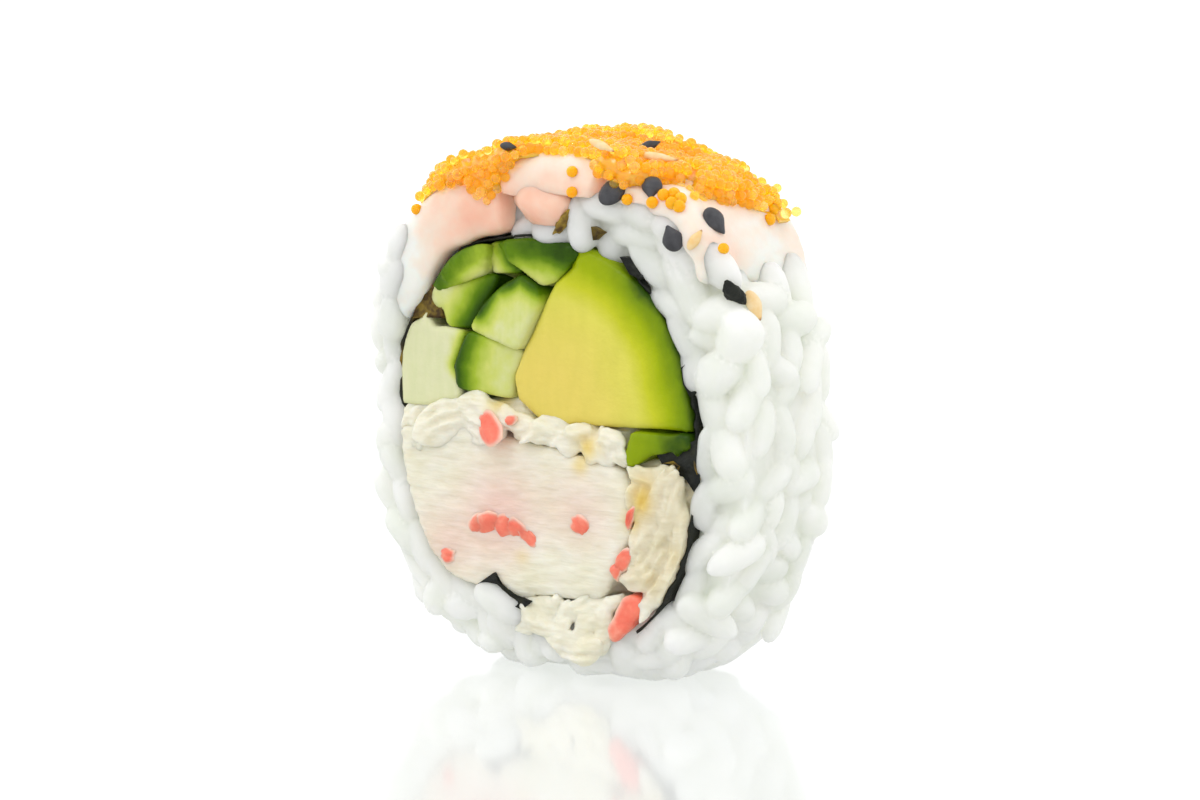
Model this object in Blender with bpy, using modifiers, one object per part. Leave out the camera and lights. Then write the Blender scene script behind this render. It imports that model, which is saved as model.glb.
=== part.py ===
"""One slice of an inside-out California roll with prawn and fish roe, standing on its edge.

The roll's axis runs along Y and the cut face that is seen first looks along -Y. The origin is on
the table under the middle of the slice, +Z is up. Sizes below are millimetres; MM turns them into
metres where points are made.
"""

import math
import random

import bmesh
import bpy
from mathutils import Matrix, Vector

MM = 0.001
GAP = 0.35  # clearance between neighbouring pieces

# The slice and its rice
THICKNESS = 15.0
RICE_CENTRE = (0.0, 20.8)
RICE_HALF_WIDTH = 19.2
RICE_UP = 21.0
RICE_DOWN = 21.6  # reaches below the table, so that the cut there leaves a flat spot
RICE_EXPONENT = 2.3
RICE_BULGES = ((54.0, 15.0, 1.2),)
RICE_CORE_BACK_STEP = 0.9  # the bare core lies this far inside the cut faces
CORE_POINTS = 40

# One cooked grain of rice
GRAIN_LENGTH = 5.6
GRAIN_WIDTH = 2.6
GRAIN_HEIGHT = 2.3
GRAIN_TRIES = 14
WALL_GRAIN_ANGLES = (155.0, 393.0)
WALL_COLUMNS = 22
WALL_ROWS = 4
FACE_RINGS = ((0.75, 26), (0.45, 22))  # share of the way out to the wall, number of grains

# The nori sheet, rolled a little more than once
NORI_CENTRE = (-0.9, 20.5)
NORI_HALF_WIDTH = 15.5
NORI_HALF_HEIGHT = 17.7
NORI_EXPONENT = 2.2
NORI_SAG = 1.5  # the lower half leans this far to the right
# Where the sheet bulges out, or in where negative: angle, width in degrees, height
NORI_BULGES = ((247.0, 17.0, -3.2), (157.0, 13.0, 0.9))
NORI_THICKNESS = 0.4
NORI_START = 75.0  # degrees, where the outer end lies
NORI_OVERLAP = 28.0
NORI_STEP = NORI_THICKNESS + GAP  # how far the inner end lies inside the outer end
NORI_RAMP = 22.0  # degrees over which the sheet steps inwards
TWIST = 5.0  # degrees that the filling turns from the front face to the back

# The prawn slices: first and last angle, thickness, the share of it left at each end, and how
# far the slice hangs over the front face, as a share of the rice between it and the nori
PRAWN_SLICES = {
    "prawn_left": (150.0, 101.2, 2.8, 0.35, 0.9, 0.94),
    "prawn_middle": (100.0, 77.5, 3.3, 0.8, 0.8, 0.04),
    "prawn_right": (76.2, 37.0, 2.1, 1.0, 0.5, 0.02),
}
PRAWN_TAPER = 0.4  # share of a slice's length over which it thins towards an end
PRAWN_FRONT = -8.4
PRAWN_BACK = 7.6

# The roe
ROE_BEAD_RADIUS = 0.62
ROE_ANGLES = (141.0, 39.0)
ROE_LAYER = 0.7
ROE_COLUMNS = 16
ROE_ROWS = 5

FRONT = -THICKNESS / 2
BACK = THICKNESS / 2
CORE_FRONT = FRONT + RICE_CORE_BACK_STEP
CORE_BACK = BACK - RICE_CORE_BACK_STEP

COLLECTION = "california_roll_slice"


def clear_scene():
    for obj in list(bpy.data.objects):
        bpy.data.objects.remove(obj)
    collection = bpy.data.collections.new(COLLECTION)
    bpy.context.scene.collection.children.link(collection)
    return collection


def make_material(name, colour, roughness):
    material = bpy.data.materials.new(name)
    material.use_nodes = True
    shader = material.node_tree.nodes["Principled BSDF"]
    shader.inputs["Base Color"].default_value = (*colour, 1.0)
    shader.inputs["Roughness"].default_value = roughness
    shader.inputs["Metallic"].default_value = 0.0
    return material


def link_object(name, mesh, material):
    obj = bpy.data.objects.new(name, mesh)
    bpy.data.collections[COLLECTION].objects.link(obj)
    if material:
        mesh.materials.clear()
        mesh.materials.append(material)
    return obj


def apply_modifiers(obj):
    """Bakes an object's modifiers into its mesh."""
    depsgraph = bpy.context.evaluated_depsgraph_get()
    material = obj.data.materials[0] if obj.data.materials else None
    baked = bpy.data.meshes.new_from_object(obj.evaluated_get(depsgraph))
    obj.modifiers.clear()
    obj.data = baked
    if material:
        baked.materials.clear()
        baked.materials.append(material)


# Outlines on the cut face, as (x, z) in millimetres


def superellipse(centre, half_width, half_up, half_down, exponent, degrees):
    c, s = math.cos(math.radians(degrees)), math.sin(math.radians(degrees))
    half_height = half_up if s > 0 else half_down
    x = math.copysign(abs(c) ** (2 / exponent), c) * half_width
    z = math.copysign(abs(s) ** (2 / exponent), s) * half_height
    return centre[0] + x, centre[1] + z


def superellipse_angle(across, up, exponent):
    """The angle of a point, given as shares of the half width and half height."""
    power = exponent / 2
    level = math.copysign(abs(up) ** power, up)
    flank = math.copysign(abs(across) ** power, across)
    return math.degrees(math.atan2(level, flank))


def bulge(bulges, degrees):
    """How far an outline stands out at an angle, from its list of angle, width and height."""
    total = 0.0
    for centre, width, height in bulges:
        away = (degrees % 360.0 - centre) / width
        total += height * math.exp(-away * away)
    return total


def rice_point(degrees, offset=0.0):
    """A point on the bare rice core's outer wall, or offset outside it."""
    offset += bulge(RICE_BULGES, degrees)
    return superellipse(
        RICE_CENTRE,
        RICE_HALF_WIDTH + offset,
        RICE_UP + offset,
        RICE_DOWN + offset,
        RICE_EXPONENT,
        degrees,
    )


def nori_point(degrees, inset=0.0):
    """A point on the middle of the nori's outer turn, or inset inside it."""
    inset -= bulge(NORI_BULGES, degrees)
    half_height = NORI_HALF_HEIGHT - inset
    x, z = superellipse(
        NORI_CENTRE,
        NORI_HALF_WIDTH - inset,
        half_height,
        half_height,
        NORI_EXPONENT,
        degrees,
    )
    below = max(0.0, (NORI_CENTRE[1] - z) / NORI_HALF_HEIGHT)
    return x + NORI_SAG * below, z


def nori_arc(first, last, inset, count):
    """Points along the inside of the nori, from one angle to another."""
    turns = [first + (last - first) * i / (count - 1) for i in range(count)]
    return [nori_point(turn, inset) for turn in turns]


def twisted(x, y, z):
    """The filling turns a little from the front face to the back."""
    turn = math.radians(TWIST) * (y - FRONT) / THICKNESS
    dx, dz = x - NORI_CENTRE[0], z - NORI_CENTRE[1]
    c, s = math.cos(turn), math.sin(turn)
    return NORI_CENTRE[0] + dx * c - dz * s, y, NORI_CENTRE[1] + dx * s + dz * c


def signed_area(outline):
    total = 0.0
    for (x0, z0), (x1, z1) in zip(outline, outline[1:] + outline[:1]):
        total += x0 * z1 - x1 * z0
    return total / 2


def shrunk(outline, distance):
    """An outline moved inwards by distance on every side."""
    points = outline if signed_area(outline) > 0 else outline[::-1]
    count = len(points)
    inner = []
    for i in range(count):
        before = Vector(points[i - 1])
        here = Vector(points[i])
        after = Vector(points[(i + 1) % count])
        first = (here - before).normalized()
        second = (after - here).normalized()
        first_normal = Vector((-first.y, first.x))
        second_normal = Vector((-second.y, second.x))
        bisector = (first_normal + second_normal).normalized()
        reach = distance / max(0.5, bisector.dot(first_normal))
        moved = here + bisector * reach
        inner.append((moved.x, moved.y))
    return inner


# Solids


def flat_curve_mesh(name, outlines, depth):
    """A mesh of flat outlines, holes included, extruded along Y."""
    curve = bpy.data.curves.new(name, "CURVE")
    curve.dimensions = "2D"
    curve.fill_mode = "BOTH"
    curve.extrude = depth / 2 * MM
    for outline in outlines:
        spline = curve.splines.new("POLY")
        spline.points.add(len(outline) - 1)
        for point, (x, z) in zip(spline.points, outline):
            point.co = (x * MM, z * MM, 0.0, 1.0)
        spline.use_cyclic_u = True
    holder = bpy.data.objects.new(name, curve)
    bpy.context.scene.collection.objects.link(holder)
    holder.rotation_euler.x = math.radians(90)
    bpy.context.view_layer.update()
    depsgraph = bpy.context.evaluated_depsgraph_get()
    mesh = bpy.data.meshes.new_from_object(holder.evaluated_get(depsgraph))
    mesh.transform(holder.matrix_world)
    bpy.data.objects.remove(holder)
    shape = bmesh.new()
    shape.from_mesh(mesh)
    bmesh.ops.remove_doubles(shape, verts=shape.verts, dist=1e-6)
    bmesh.ops.recalc_face_normals(shape, faces=shape.faces)
    shape.to_mesh(mesh)
    shape.free()
    return mesh


def place_along_y(mesh, front, back):
    """Moves the extruded ends to front and back, and twists them with the filling."""
    for vertex in mesh.vertices:
        y = front if vertex.co.y < 0 else back
        x, y, z = twisted(vertex.co.x / MM, y, vertex.co.z / MM)
        vertex.co = Vector((x, y, z)) * MM


def filling_prism(name, outline, material, front=FRONT, back=BACK, edge=0.3):
    """A piece of filling that runs through the roll from one cut face to the other."""
    mesh = flat_curve_mesh(name, [shrunk(outline, GAP / 2)], THICKNESS)
    place_along_y(mesh, front, back)
    obj = link_object(name, mesh, material)
    if edge:
        bevel = obj.modifiers.new("soft_edges", "BEVEL")
        bevel.width = edge * MM
        bevel.segments = 1
        bevel.limit_method = "ANGLE"
        bevel.angle_limit = math.radians(50)
        apply_modifiers(obj)
    return obj


def loft(name, sections, material):
    """A closed body through rings of points that have one count."""
    shape = bmesh.new()
    rings = [[shape.verts.new(Vector(p) * MM) for p in ring] for ring in sections]
    count = len(rings[0])
    for ring, following in zip(rings, rings[1:]):
        for i in range(count):
            j = (i + 1) % count
            shape.faces.new((ring[i], ring[j], following[j], following[i]))
    shape.faces.new(rings[0])
    shape.faces.new(rings[-1])
    bmesh.ops.recalc_face_normals(shape, faces=shape.faces)
    bmesh.ops.triangulate(shape, faces=shape.faces)
    mesh = bpy.data.meshes.new(name)
    shape.to_mesh(mesh)
    shape.free()
    return link_object(name, mesh, material)


def ellipsoid(name, centre, size, rotation, segments=5, rings=4):
    """A small faceted grain, seed, flake or bead. centre and size are millimetres."""
    shape = bmesh.new()
    bmesh.ops.create_uvsphere(shape, u_segments=segments, v_segments=rings, radius=0.5)
    longest_first = Matrix.Rotation(math.radians(90), 4, "Y")
    scale = Matrix.Diagonal((*size, 1.0))
    place = Matrix.Translation(centre)
    matrix = Matrix.Scale(MM, 4) @ place @ rotation.to_4x4() @ scale @ longest_first
    bmesh.ops.transform(shape, matrix=matrix, verts=shape.verts)
    mesh = bpy.data.meshes.new(name)
    shape.to_mesh(mesh)
    shape.free()
    return link_object(name, mesh, None)


def bead(name, centre, radius):
    """A faceted fish egg."""
    shape = bmesh.new()
    bmesh.ops.create_icosphere(shape, subdivisions=1, radius=radius * MM)
    bmesh.ops.translate(shape, vec=Vector(centre) * MM, verts=shape.verts)
    mesh = bpy.data.meshes.new(name)
    shape.to_mesh(mesh)
    shape.free()
    return link_object(name, mesh, None)


def fuse(base, pieces):
    """Joins small pieces to their base by one Boolean union, then removes them."""
    group = bpy.data.collections.new(base.name + "_pieces")
    bpy.context.scene.collection.children.link(group)
    for piece in pieces:
        bpy.data.collections[COLLECTION].objects.unlink(piece)
        group.objects.link(piece)
    union = base.modifiers.new("fuse", "BOOLEAN")
    union.operation = "UNION"
    union.operand_type = "COLLECTION"
    union.collection = group
    union.solver = "MANIFOLD"
    apply_modifiers(base)
    for piece in pieces:
        bpy.data.objects.remove(piece)
    bpy.data.collections.remove(group)


def keep_largest_shell(obj):
    """Drops scraps and sealed hollows that the union left, and keeps the one outer body."""
    shape = bmesh.new()
    shape.from_mesh(obj.data)
    left = set(shape.verts)
    shells = []
    while left:
        shell = set()
        edge_of_search = [left.pop()]
        while edge_of_search:
            vertex = edge_of_search.pop()
            shell.add(vertex)
            for link in vertex.link_edges:
                other = link.other_vert(vertex)
                if other in left:
                    left.remove(other)
                    edge_of_search.append(other)
        shells.append(shell)
    largest = max(shells, key=len)
    loose = [vertex for shell in shells if shell is not largest for vertex in shell]
    bmesh.ops.delete(shape, geom=loose, context="VERTS")
    shape.to_mesh(obj.data)
    shape.free()


def cut_at_table(obj):
    """Flattens the underside on the table."""
    shape = bmesh.new()
    bmesh.ops.create_cube(shape, size=1.0)
    block = Matrix.Diagonal((0.08, 0.08, 0.02, 1.0))
    under = Matrix.Translation((0.0, 0.0, -0.01))
    bmesh.ops.transform(shape, matrix=under @ block, verts=shape.verts)
    mesh = bpy.data.meshes.new("table_cutter")
    shape.to_mesh(mesh)
    shape.free()
    cutter = link_object("table_cutter", mesh, None)
    cut = obj.modifiers.new("flat_spot", "BOOLEAN")
    cut.operation = "DIFFERENCE"
    cut.object = cutter
    cut.solver = "MANIFOLD"
    apply_modifiers(obj)
    bpy.data.objects.remove(cutter)


# The nori


def nori_inset_at(turn):
    """How far the sheet lies inside its outer turn, turn degrees from its outer end."""
    share = (turn - (360.0 - NORI_RAMP)) / NORI_RAMP
    share = min(1.0, max(0.0, share))
    return NORI_STEP * share * share * (3 - 2 * share)


def build_nori(material):
    columns, rows = 40, 2
    shape = bmesh.new()
    bmesh.ops.create_grid(shape, x_segments=columns, y_segments=rows, size=0.5)
    total = 360.0 + NORI_OVERLAP
    for vertex in shape.verts:
        turn = (vertex.co.x + 0.5) * total
        share = vertex.co.y + 0.5
        ragged = 0.2 * math.sin(turn * 0.11) + 0.12 * math.sin(turn * 0.31 + 1.0)
        front = FRONT + 0.25 + ragged
        back = BACK - 0.3 + 0.2 * math.sin(turn * 0.09 + 2.0)
        x, z = nori_point(NORI_START + turn, nori_inset_at(turn))
        x, y, z = twisted(x, front + (back - front) * share, z)
        vertex.co = Vector((x, y, z)) * MM
    mesh = bpy.data.meshes.new("nori")
    shape.to_mesh(mesh)
    shape.free()
    obj = link_object("nori", mesh, material)
    solidify = obj.modifiers.new("sheet_thickness", "SOLIDIFY")
    solidify.thickness = NORI_THICKNESS * MM
    solidify.offset = 0.0
    solidify.use_even_offset = True
    return obj


# The filling. Outlines share their edges, and each piece is then drawn in by half the gap.

INSIDE = NORI_THICKNESS / 2 + GAP / 2  # from the nori's middle to a neighbour's outline
INSIDE_OVERLAP = INSIDE + NORI_STEP


def build_avocado(material):
    skin_side = nori_arc(80.0, 62.0, INSIDE_OVERLAP, 3) + nori_arc(52.0, 5.0, INSIDE, 7)
    flesh_side = [(13.3, 22.5), (7.4, 22.4), (-0.8, 22.1), (-3.6, 24.0), (-4.0, 26.0)]
    top_side = [(-2.9, 28.3), (-0.7, 32.4), (0.4, 34.3), (2.4, 35.9)]
    filling_prism("avocado", skin_side + flesh_side + top_side, material, edge=0.4)
    strip = [(7.5, 19.4), (8.4, 22.1), (13.2, 22.2), *nori_arc(4.0, 2.0, INSIDE, 2)]
    strip += [(13.0, 20.9), (10.4, 20.3), (8.6, 19.2)]
    filling_prism("avocado_strip", strip, material, front=FRONT - 0.2, edge=0.25)


# The angles between which the nori lies double over the cucumber
UNDER_FLAP = (104.0, 80.0)
UNDER_FLAP_END = nori_point(110.0, INSIDE_OVERLAP)

CUCUMBER_OUTLINES = {
    "cucumber_1": [*nori_arc(137.0, 113.0, INSIDE, 4), UNDER_FLAP_END, (-6.9, 34.7)],
    "cucumber_2": [
        UNDER_FLAP_END,
        nori_point(UNDER_FLAP[0], INSIDE_OVERLAP),
        (-4.1, 35.8),
        (-2.6, 35.0),
        (-6.9, 34.7),
    ],
    "cucumber_3": [
        *nori_arc(*UNDER_FLAP, INSIDE_OVERLAP, 5),
        (2.4, 35.9),
        (0.4, 34.3),
        (-0.9, 33.9),
        (-2.6, 35.0),
        (-4.1, 35.8),
    ],
    "cucumber_4": [(-11.8, 33.0), (-6.9, 34.7), (-5.9, 34.7), (-6.2, 33.6), (-8.6, 29.8), (-11.2, 29.9)],
    "cucumber_5": [
        (-5.2, 33.7),
        (-2.9, 34.9),
        (-0.9, 33.9),
        (-0.7, 32.4),
        (-2.9, 28.3),
        (-8.6, 29.8),
        (-7.3, 32.0),
    ],
    "cucumber_6": [(-8.6, 29.8), (-2.9, 28.3), (-4.0, 26.0), (-4.2, 24.0), (-9.9, 24.6), (-10.1, 26.6)],
    "cucumber_7": [
        (-11.2, 29.9),
        *nori_arc(151.0, 174.0, INSIDE, 5),
        (-12.9, 22.9),
        (-9.4, 23.8),
        (-10.1, 26.6),
        (-8.9, 29.6),
    ],
}


def build_cucumber(material):
    for name, outline in CUCUMBER_OUTLINES.items():
        filling_prism(name, outline, material, edge=0.25)


CRAB_STICK = [
    (-13.5, 20.6),
    (-10.8, 22.2),
    (-7.6, 22.1),
    (-4.5, 20.7),
    (1.0, 20.1),
    (7.2, 19.0),
    (9.0, 16.6),
    (8.4, 13.0),
    (6.8, 9.6),
    (5.2, 7.3),
    (-1.8, 7.2),
    (-4.4, 7.9),
]
CRAB_UPPER = [
    (-9.4, 22.3),
    (-9.2, 23.6),
    (-4.0, 23.9),
    (-0.8, 22.1),
    (7.4, 22.1),
    (7.2, 19.2),
    (1.0, 20.1),
    (-4.5, 20.7),
    (-7.6, 22.1),
]
CRAB_RIGHT = [(7.2, 19.0), (10.9, 19.9), (12.6, 19.6)]
CRAB_RED = [(8.0, 8.8), (9.5, 8.7), (9.7, 7.3), (8.1, 5.6), (6.6, 4.6), (6.4, 6.2)]
CRAB_RED_FRONT = FRONT - 0.5


def scattered_flakes(name, draw, spots, front):
    """Short torn shreds of crab on both cut faces, at named spots (x, z, angle, length)."""
    flakes = []
    for i, (x, z, angle, length) in enumerate(spots):
        lean = math.radians(draw.uniform(-12, 12))
        turn = Matrix.Rotation(math.radians(-angle), 3, "Y") @ Matrix.Rotation(lean, 3, "Z")
        size = (length, draw.uniform(1.1, 1.5), draw.uniform(1.3, 1.8))
        flakes.append(ellipsoid(f"{name}_{i}", (x, front, z), size, turn))
        flakes.append(ellipsoid(f"{name}_back_{i}", twisted(x, -front, z), size, turn))
    return flakes


def build_crab(material, red_material):
    draw = random.Random(21)
    lower_left = nori_arc(178.0, 230.0, INSIDE, 7)
    stick = CRAB_STICK + lower_left[::-1]
    filling_prism("crab_stick", stick, material, front=FRONT - 0.3, back=BACK + 0.2, edge=0.6)

    upper = filling_prism("crab_shreds_upper", CRAB_UPPER, material, edge=0.0)
    spots = [(-4.6, 22.2, 20, 3.0), (-1.8, 21.2, -8, 3.2), (1.8, 21.1, 6, 3.0), (5.2, 20.8, -35, 2.6)]
    fuse(upper, scattered_flakes("upper_flake", draw, spots, FRONT + 0.1))
    keep_largest_shell(upper)

    right_wall = nori_arc(-4.0, -40.0, INSIDE, 6)
    right = CRAB_RIGHT + right_wall + [(9.6, 8.6), (8.0, 8.8), (6.8, 9.6), (8.4, 13.0), (9.0, 16.6)]
    shreds = filling_prism("crab_shreds_right", right, material, edge=0.0)
    spots = [
        (9.6, 17.4, 70, 3.4),
        (11.9, 17.2, 78, 3.4),
        (10.4, 14.0, 62, 3.6),
        (12.2, 13.2, 85, 3.2),
        (10.8, 10.8, 48, 3.0),
        (9.2, 11.2, 70, 2.6),
    ]
    fuse(shreds, scattered_flakes("right_flake", draw, spots, FRONT + 0.1))
    keep_largest_shell(shreds)

    bottom_wall = nori_arc(-70.0, -92.0, INSIDE, 5)
    low = [(5.2, 7.3), (6.4, 6.2), (6.6, 4.4), *bottom_wall, (-0.9, 4.9), (-1.8, 7.2)]
    shreds = filling_prism("crab_shreds_lower", low, material, edge=0.0)
    spots = [(-1.2, 5.5, 30, 2.8), (1.4, 5.6, 70, 2.4), (3.6, 5.6, 60, 2.8), (1.6, 4.3, 5, 2.8)]
    fuse(shreds, scattered_flakes("lower_flake", draw, spots, FRONT + 0.1))
    keep_largest_shell(shreds)

    filling_prism("crab_red_strip", CRAB_RED, red_material, front=CRAB_RED_FRONT, edge=0.3)


# The prawn


def prawn_thickness(name, degrees):
    """The thickness tapers towards a slice's ends, and is nothing past them."""
    first, last, thickness, at_first, at_last, reach = PRAWN_SLICES[name]
    share = (degrees - first) / (last - first)
    if not 0.0 <= share <= 1.0:
        return 0.0
    rise = math.sin(math.pi / 2 * min(1.0, share / PRAWN_TAPER))
    fall = math.sin(math.pi / 2 * min(1.0, (1.0 - share) / PRAWN_TAPER))
    left = at_first + (1.0 - at_first) * rise
    right = at_last + (1.0 - at_last) * fall
    return thickness * min(left, right)


def prawn_section(name, degrees):
    """A ring of points across a slice: its lip over the front face, top, back and underside."""
    first, last, thickness, at_first, at_last, reach = PRAWN_SLICES[name]
    thick = prawn_thickness(name, degrees)
    wall = Vector(rice_point(degrees, GAP))
    nori_edge = Vector(nori_point(degrees, -NORI_THICKNESS / 2 - GAP))
    share = (degrees - first) / (last - first)
    hang = reach * (1.0 - 0.4 * share * share + 0.04 * math.sin(degrees * 0.5))
    lip_tip = wall.lerp(nori_edge, hang)
    lip_middle = wall.lerp(nori_edge, hang * 0.4)
    lip_back = CORE_FRONT - GAP
    ring = [(lip_tip.x, PRAWN_FRONT + 0.45, lip_tip.y)]
    ring.append((lip_middle.x, PRAWN_FRONT, lip_middle.y))
    profile = [
        (PRAWN_FRONT + 0.15, thick * 0.5),
        (PRAWN_FRONT + 1.1, thick * 0.92),
        (FRONT + 3.5, thick),
        (BACK - 3.5, thick * 0.97),
        (PRAWN_BACK - 0.4, thick * 0.8),
        (PRAWN_BACK, thick * 0.3),
        (PRAWN_BACK - 0.5, 0.0),
        (lip_back, 0.0),
    ]
    for y, height in profile:
        x, z = rice_point(degrees, GAP + height)
        ring.append((x, y, z))
    ring.append((lip_tip.x, lip_back, lip_tip.y))
    return ring


def seed(name, centre, turn_degrees, size=(2.7, 1.9, 1.0)):
    """A flat oval sesame seed that lies on a face that looks along -Y."""
    flat = Matrix.Rotation(math.radians(90), 3, "X")
    spin = Matrix.Rotation(math.radians(-turn_degrees), 3, "Y")
    return ellipsoid(name, centre, size, spin @ flat, segments=6, rings=4)


FACE_Y = PRAWN_FRONT - 0.05
PRAWN_SEEDS = {"prawn_right": [(7.0, 42.3, 40.0), (10.4, 41.3, -80.0)]}
PRAWN_BEADS = {
    "prawn_middle": [(2.2, 43.7), (2.3, 42.1)],
    "prawn_right": [(8.3, 41.6), (11.2, 40.6)],
}


def build_prawn(material):
    for name, (first, last, *_) in PRAWN_SLICES.items():
        steps = 9
        turns = [first + (last - first) * i / steps for i in range(steps + 1)]
        slab = loft(name, [prawn_section(name, turn) for turn in turns], material)
        extras = []
        for i, (x, z, turn) in enumerate(PRAWN_SEEDS.get(name, [])):
            extras.append(seed(f"{name}_seed_{i}", (x, FACE_Y, z), turn))
        for i, (x, z) in enumerate(PRAWN_BEADS.get(name, [])):
            extras.append(bead(f"{name}_bead_{i}", (x, FACE_Y, z), ROE_BEAD_RADIUS))
        if extras:
            fuse(slab, extras)
            keep_largest_shell(slab)


# The roe


def roe_lift(degrees):
    """Height of the roe's underside over the bare rice, clear of the prawn below."""
    highest = 0.0
    for name in PRAWN_SLICES:
        for near in range(-4, 5, 2):
            highest = max(highest, prawn_thickness(name, degrees + near))
    return GAP + highest + GAP


def roe_front_edge(degrees):
    """The heap's front edge waves, and hangs over the front in three places."""
    clumps = sum(math.exp(-(((degrees - peak) / 7.0) ** 2)) for peak in (122.0, 66.0, 50.0))
    return -4.9 - 2.3 * clumps + 0.5 * math.sin(degrees * 0.35)


def roe_section(degrees):
    first, last = ROE_ANGLES
    share = (degrees - first) / (last - first)
    crown = math.sin(math.pi * share) ** 0.35
    layer = 0.35 + ROE_LAYER * crown + 0.25 * math.sin(degrees * 0.7)
    front = roe_front_edge(degrees)
    back = 6.6 + 0.5 * math.sin(degrees * 0.27)
    middle = (front + back) / 2
    profile = [
        (front, 0.0),
        (front + 0.1, layer * 0.5),
        (front + 1.2, layer),
        (middle, layer * 1.1),
        (back - 1.2, layer),
        (back, layer * 0.4),
        (back - 0.1, 0.0),
        (middle, 0.0),
    ]
    lift = roe_lift(degrees)
    return [(x, y, z) for y, (x, z) in ((y, rice_point(degrees, lift + h)) for y, h in profile)]


def build_roe(material):
    draw = random.Random(7)
    first, last = ROE_ANGLES
    steps = 18
    turns = [first + (last - first) * (0.01 + 0.98 * i / steps) for i in range(steps + 1)]
    heap = loft("roe", [roe_section(turn) for turn in turns], material)
    beads = []
    for column in range(ROE_COLUMNS):
        for row in range(ROE_ROWS):
            share = (column + draw.uniform(0.2, 0.8)) / ROE_COLUMNS
            turn = first + 3.0 + (last - first - 6.0) * share
            front = roe_front_edge(turn) + 0.2
            back = 6.3
            y = front + (back - front) * (row + draw.uniform(0.25, 0.75)) / ROE_ROWS
            height = ROE_LAYER + draw.uniform(0.0, 0.5)
            if row == 0:
                y = front
                height *= 0.6
            x, z = rice_point(turn, roe_lift(turn) + height)
            beads.append(bead(f"egg_{column}_{row}", (x, y, z), ROE_BEAD_RADIUS))
    fuse(heap, beads)
    keep_largest_shell(heap)


# The rice


def outside_nori(x, y, z, clearance):
    """True where a point lies outside the nori's outer face by the clearance."""
    back_turn = -math.radians(TWIST) * (y - FRONT) / THICKNESS
    dx, dz = x - NORI_CENTRE[0], z - NORI_CENTRE[1]
    c, s = math.cos(back_turn), math.sin(back_turn)
    x, z = dx * c - dz * s, dx * s + dz * c
    x -= NORI_SAG * max(0.0, -z / NORI_HALF_HEIGHT)
    turn = superellipse_angle(x / NORI_HALF_WIDTH, z / NORI_HALF_HEIGHT, NORI_EXPONENT)
    reach = NORI_THICKNESS / 2 + clearance + bulge(NORI_BULGES, turn)
    across = abs(x) / (NORI_HALF_WIDTH + reach)
    upright = abs(z) / (NORI_HALF_HEIGHT + reach)
    return across**NORI_EXPONENT + upright**NORI_EXPONENT > 1.0


def under_prawn(x, y, z):
    """True where a point lies in the room that the prawn slices take."""
    half_height = RICE_UP if z > RICE_CENTRE[1] else RICE_DOWN
    across = x - RICE_CENTRE[0]
    up = z - RICE_CENTRE[1]
    turn = superellipse_angle(across / RICE_HALF_WIDTH, up / half_height, RICE_EXPONENT)
    first = PRAWN_SLICES["prawn_left"][0] + 2.0
    last = PRAWN_SLICES["prawn_right"][1] - 2.0
    if not last < turn < first:
        return False
    wall_x, wall_z = rice_point(turn, 0.1)
    on_wall = math.hypot(across, up) > math.hypot(wall_x - RICE_CENTRE[0], wall_z - RICE_CENTRE[1])
    under_lip = y < CORE_FRONT - 0.1 and turn > PRAWN_SLICES["prawn_left"][1] - 3.0
    return on_wall or under_lip


def free_of_neighbours(corners):
    for x, y, z in corners:
        if not outside_nori(x, y, z, GAP) or under_prawn(x, y, z):
            return False
    return True


def grain_corners(centre, rotation, length):
    """The corners of the room that a grain takes."""
    half = (length / 2, GRAIN_WIDTH / 2, GRAIN_HEIGHT / 2)
    directions = [(1, 0, 0), (-1, 0, 0), (0, 1, 0), (0, -1, 0), (0, 0, 1), (0, 0, -1)]
    directions += [(0.7, 0.7, 0), (0.7, -0.7, 0), (-0.7, 0.7, 0), (-0.7, -0.7, 0)]
    directions += [(0.7, 0, 0.7), (0.7, 0, -0.7), (-0.7, 0, 0.7), (-0.7, 0, -0.7)]
    corners = []
    for direction in directions:
        local = Vector([d * h for d, h in zip(direction, half)])
        corners.append(Vector(centre) + rotation @ local)
    return corners


def frame_matrix(along, normal):
    """A rotation that lays X along one direction and Z along a surface's normal."""
    normal = normal.normalized()
    along = (along - normal * along.dot(normal)).normalized()
    side = normal.cross(along)
    return Matrix((along, side, normal)).transposed()


def wall_direction(degrees):
    """The direction along the rice's wall, round the roll."""
    ahead = Vector(rice_point(degrees + 2.0)) - Vector(rice_point(degrees - 2.0))
    return Vector((ahead.x, 0.0, ahead.y)).normalized()


def fitted_grain(name, draw, propose):
    """A grain where propose() puts one clear of the neighbours, or none after some tries.

    propose() gets the share of its freedom that is left, from 1 down.
    """
    for attempt in range(GRAIN_TRIES):
        centre, along, normal, length = propose(draw, 1.0 - attempt / GRAIN_TRIES)
        rotation = frame_matrix(along, normal)
        if free_of_neighbours(grain_corners(centre, rotation, length)):
            return [ellipsoid(name, centre, (length, GRAIN_WIDTH, GRAIN_HEIGHT), rotation)]
    return []


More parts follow.
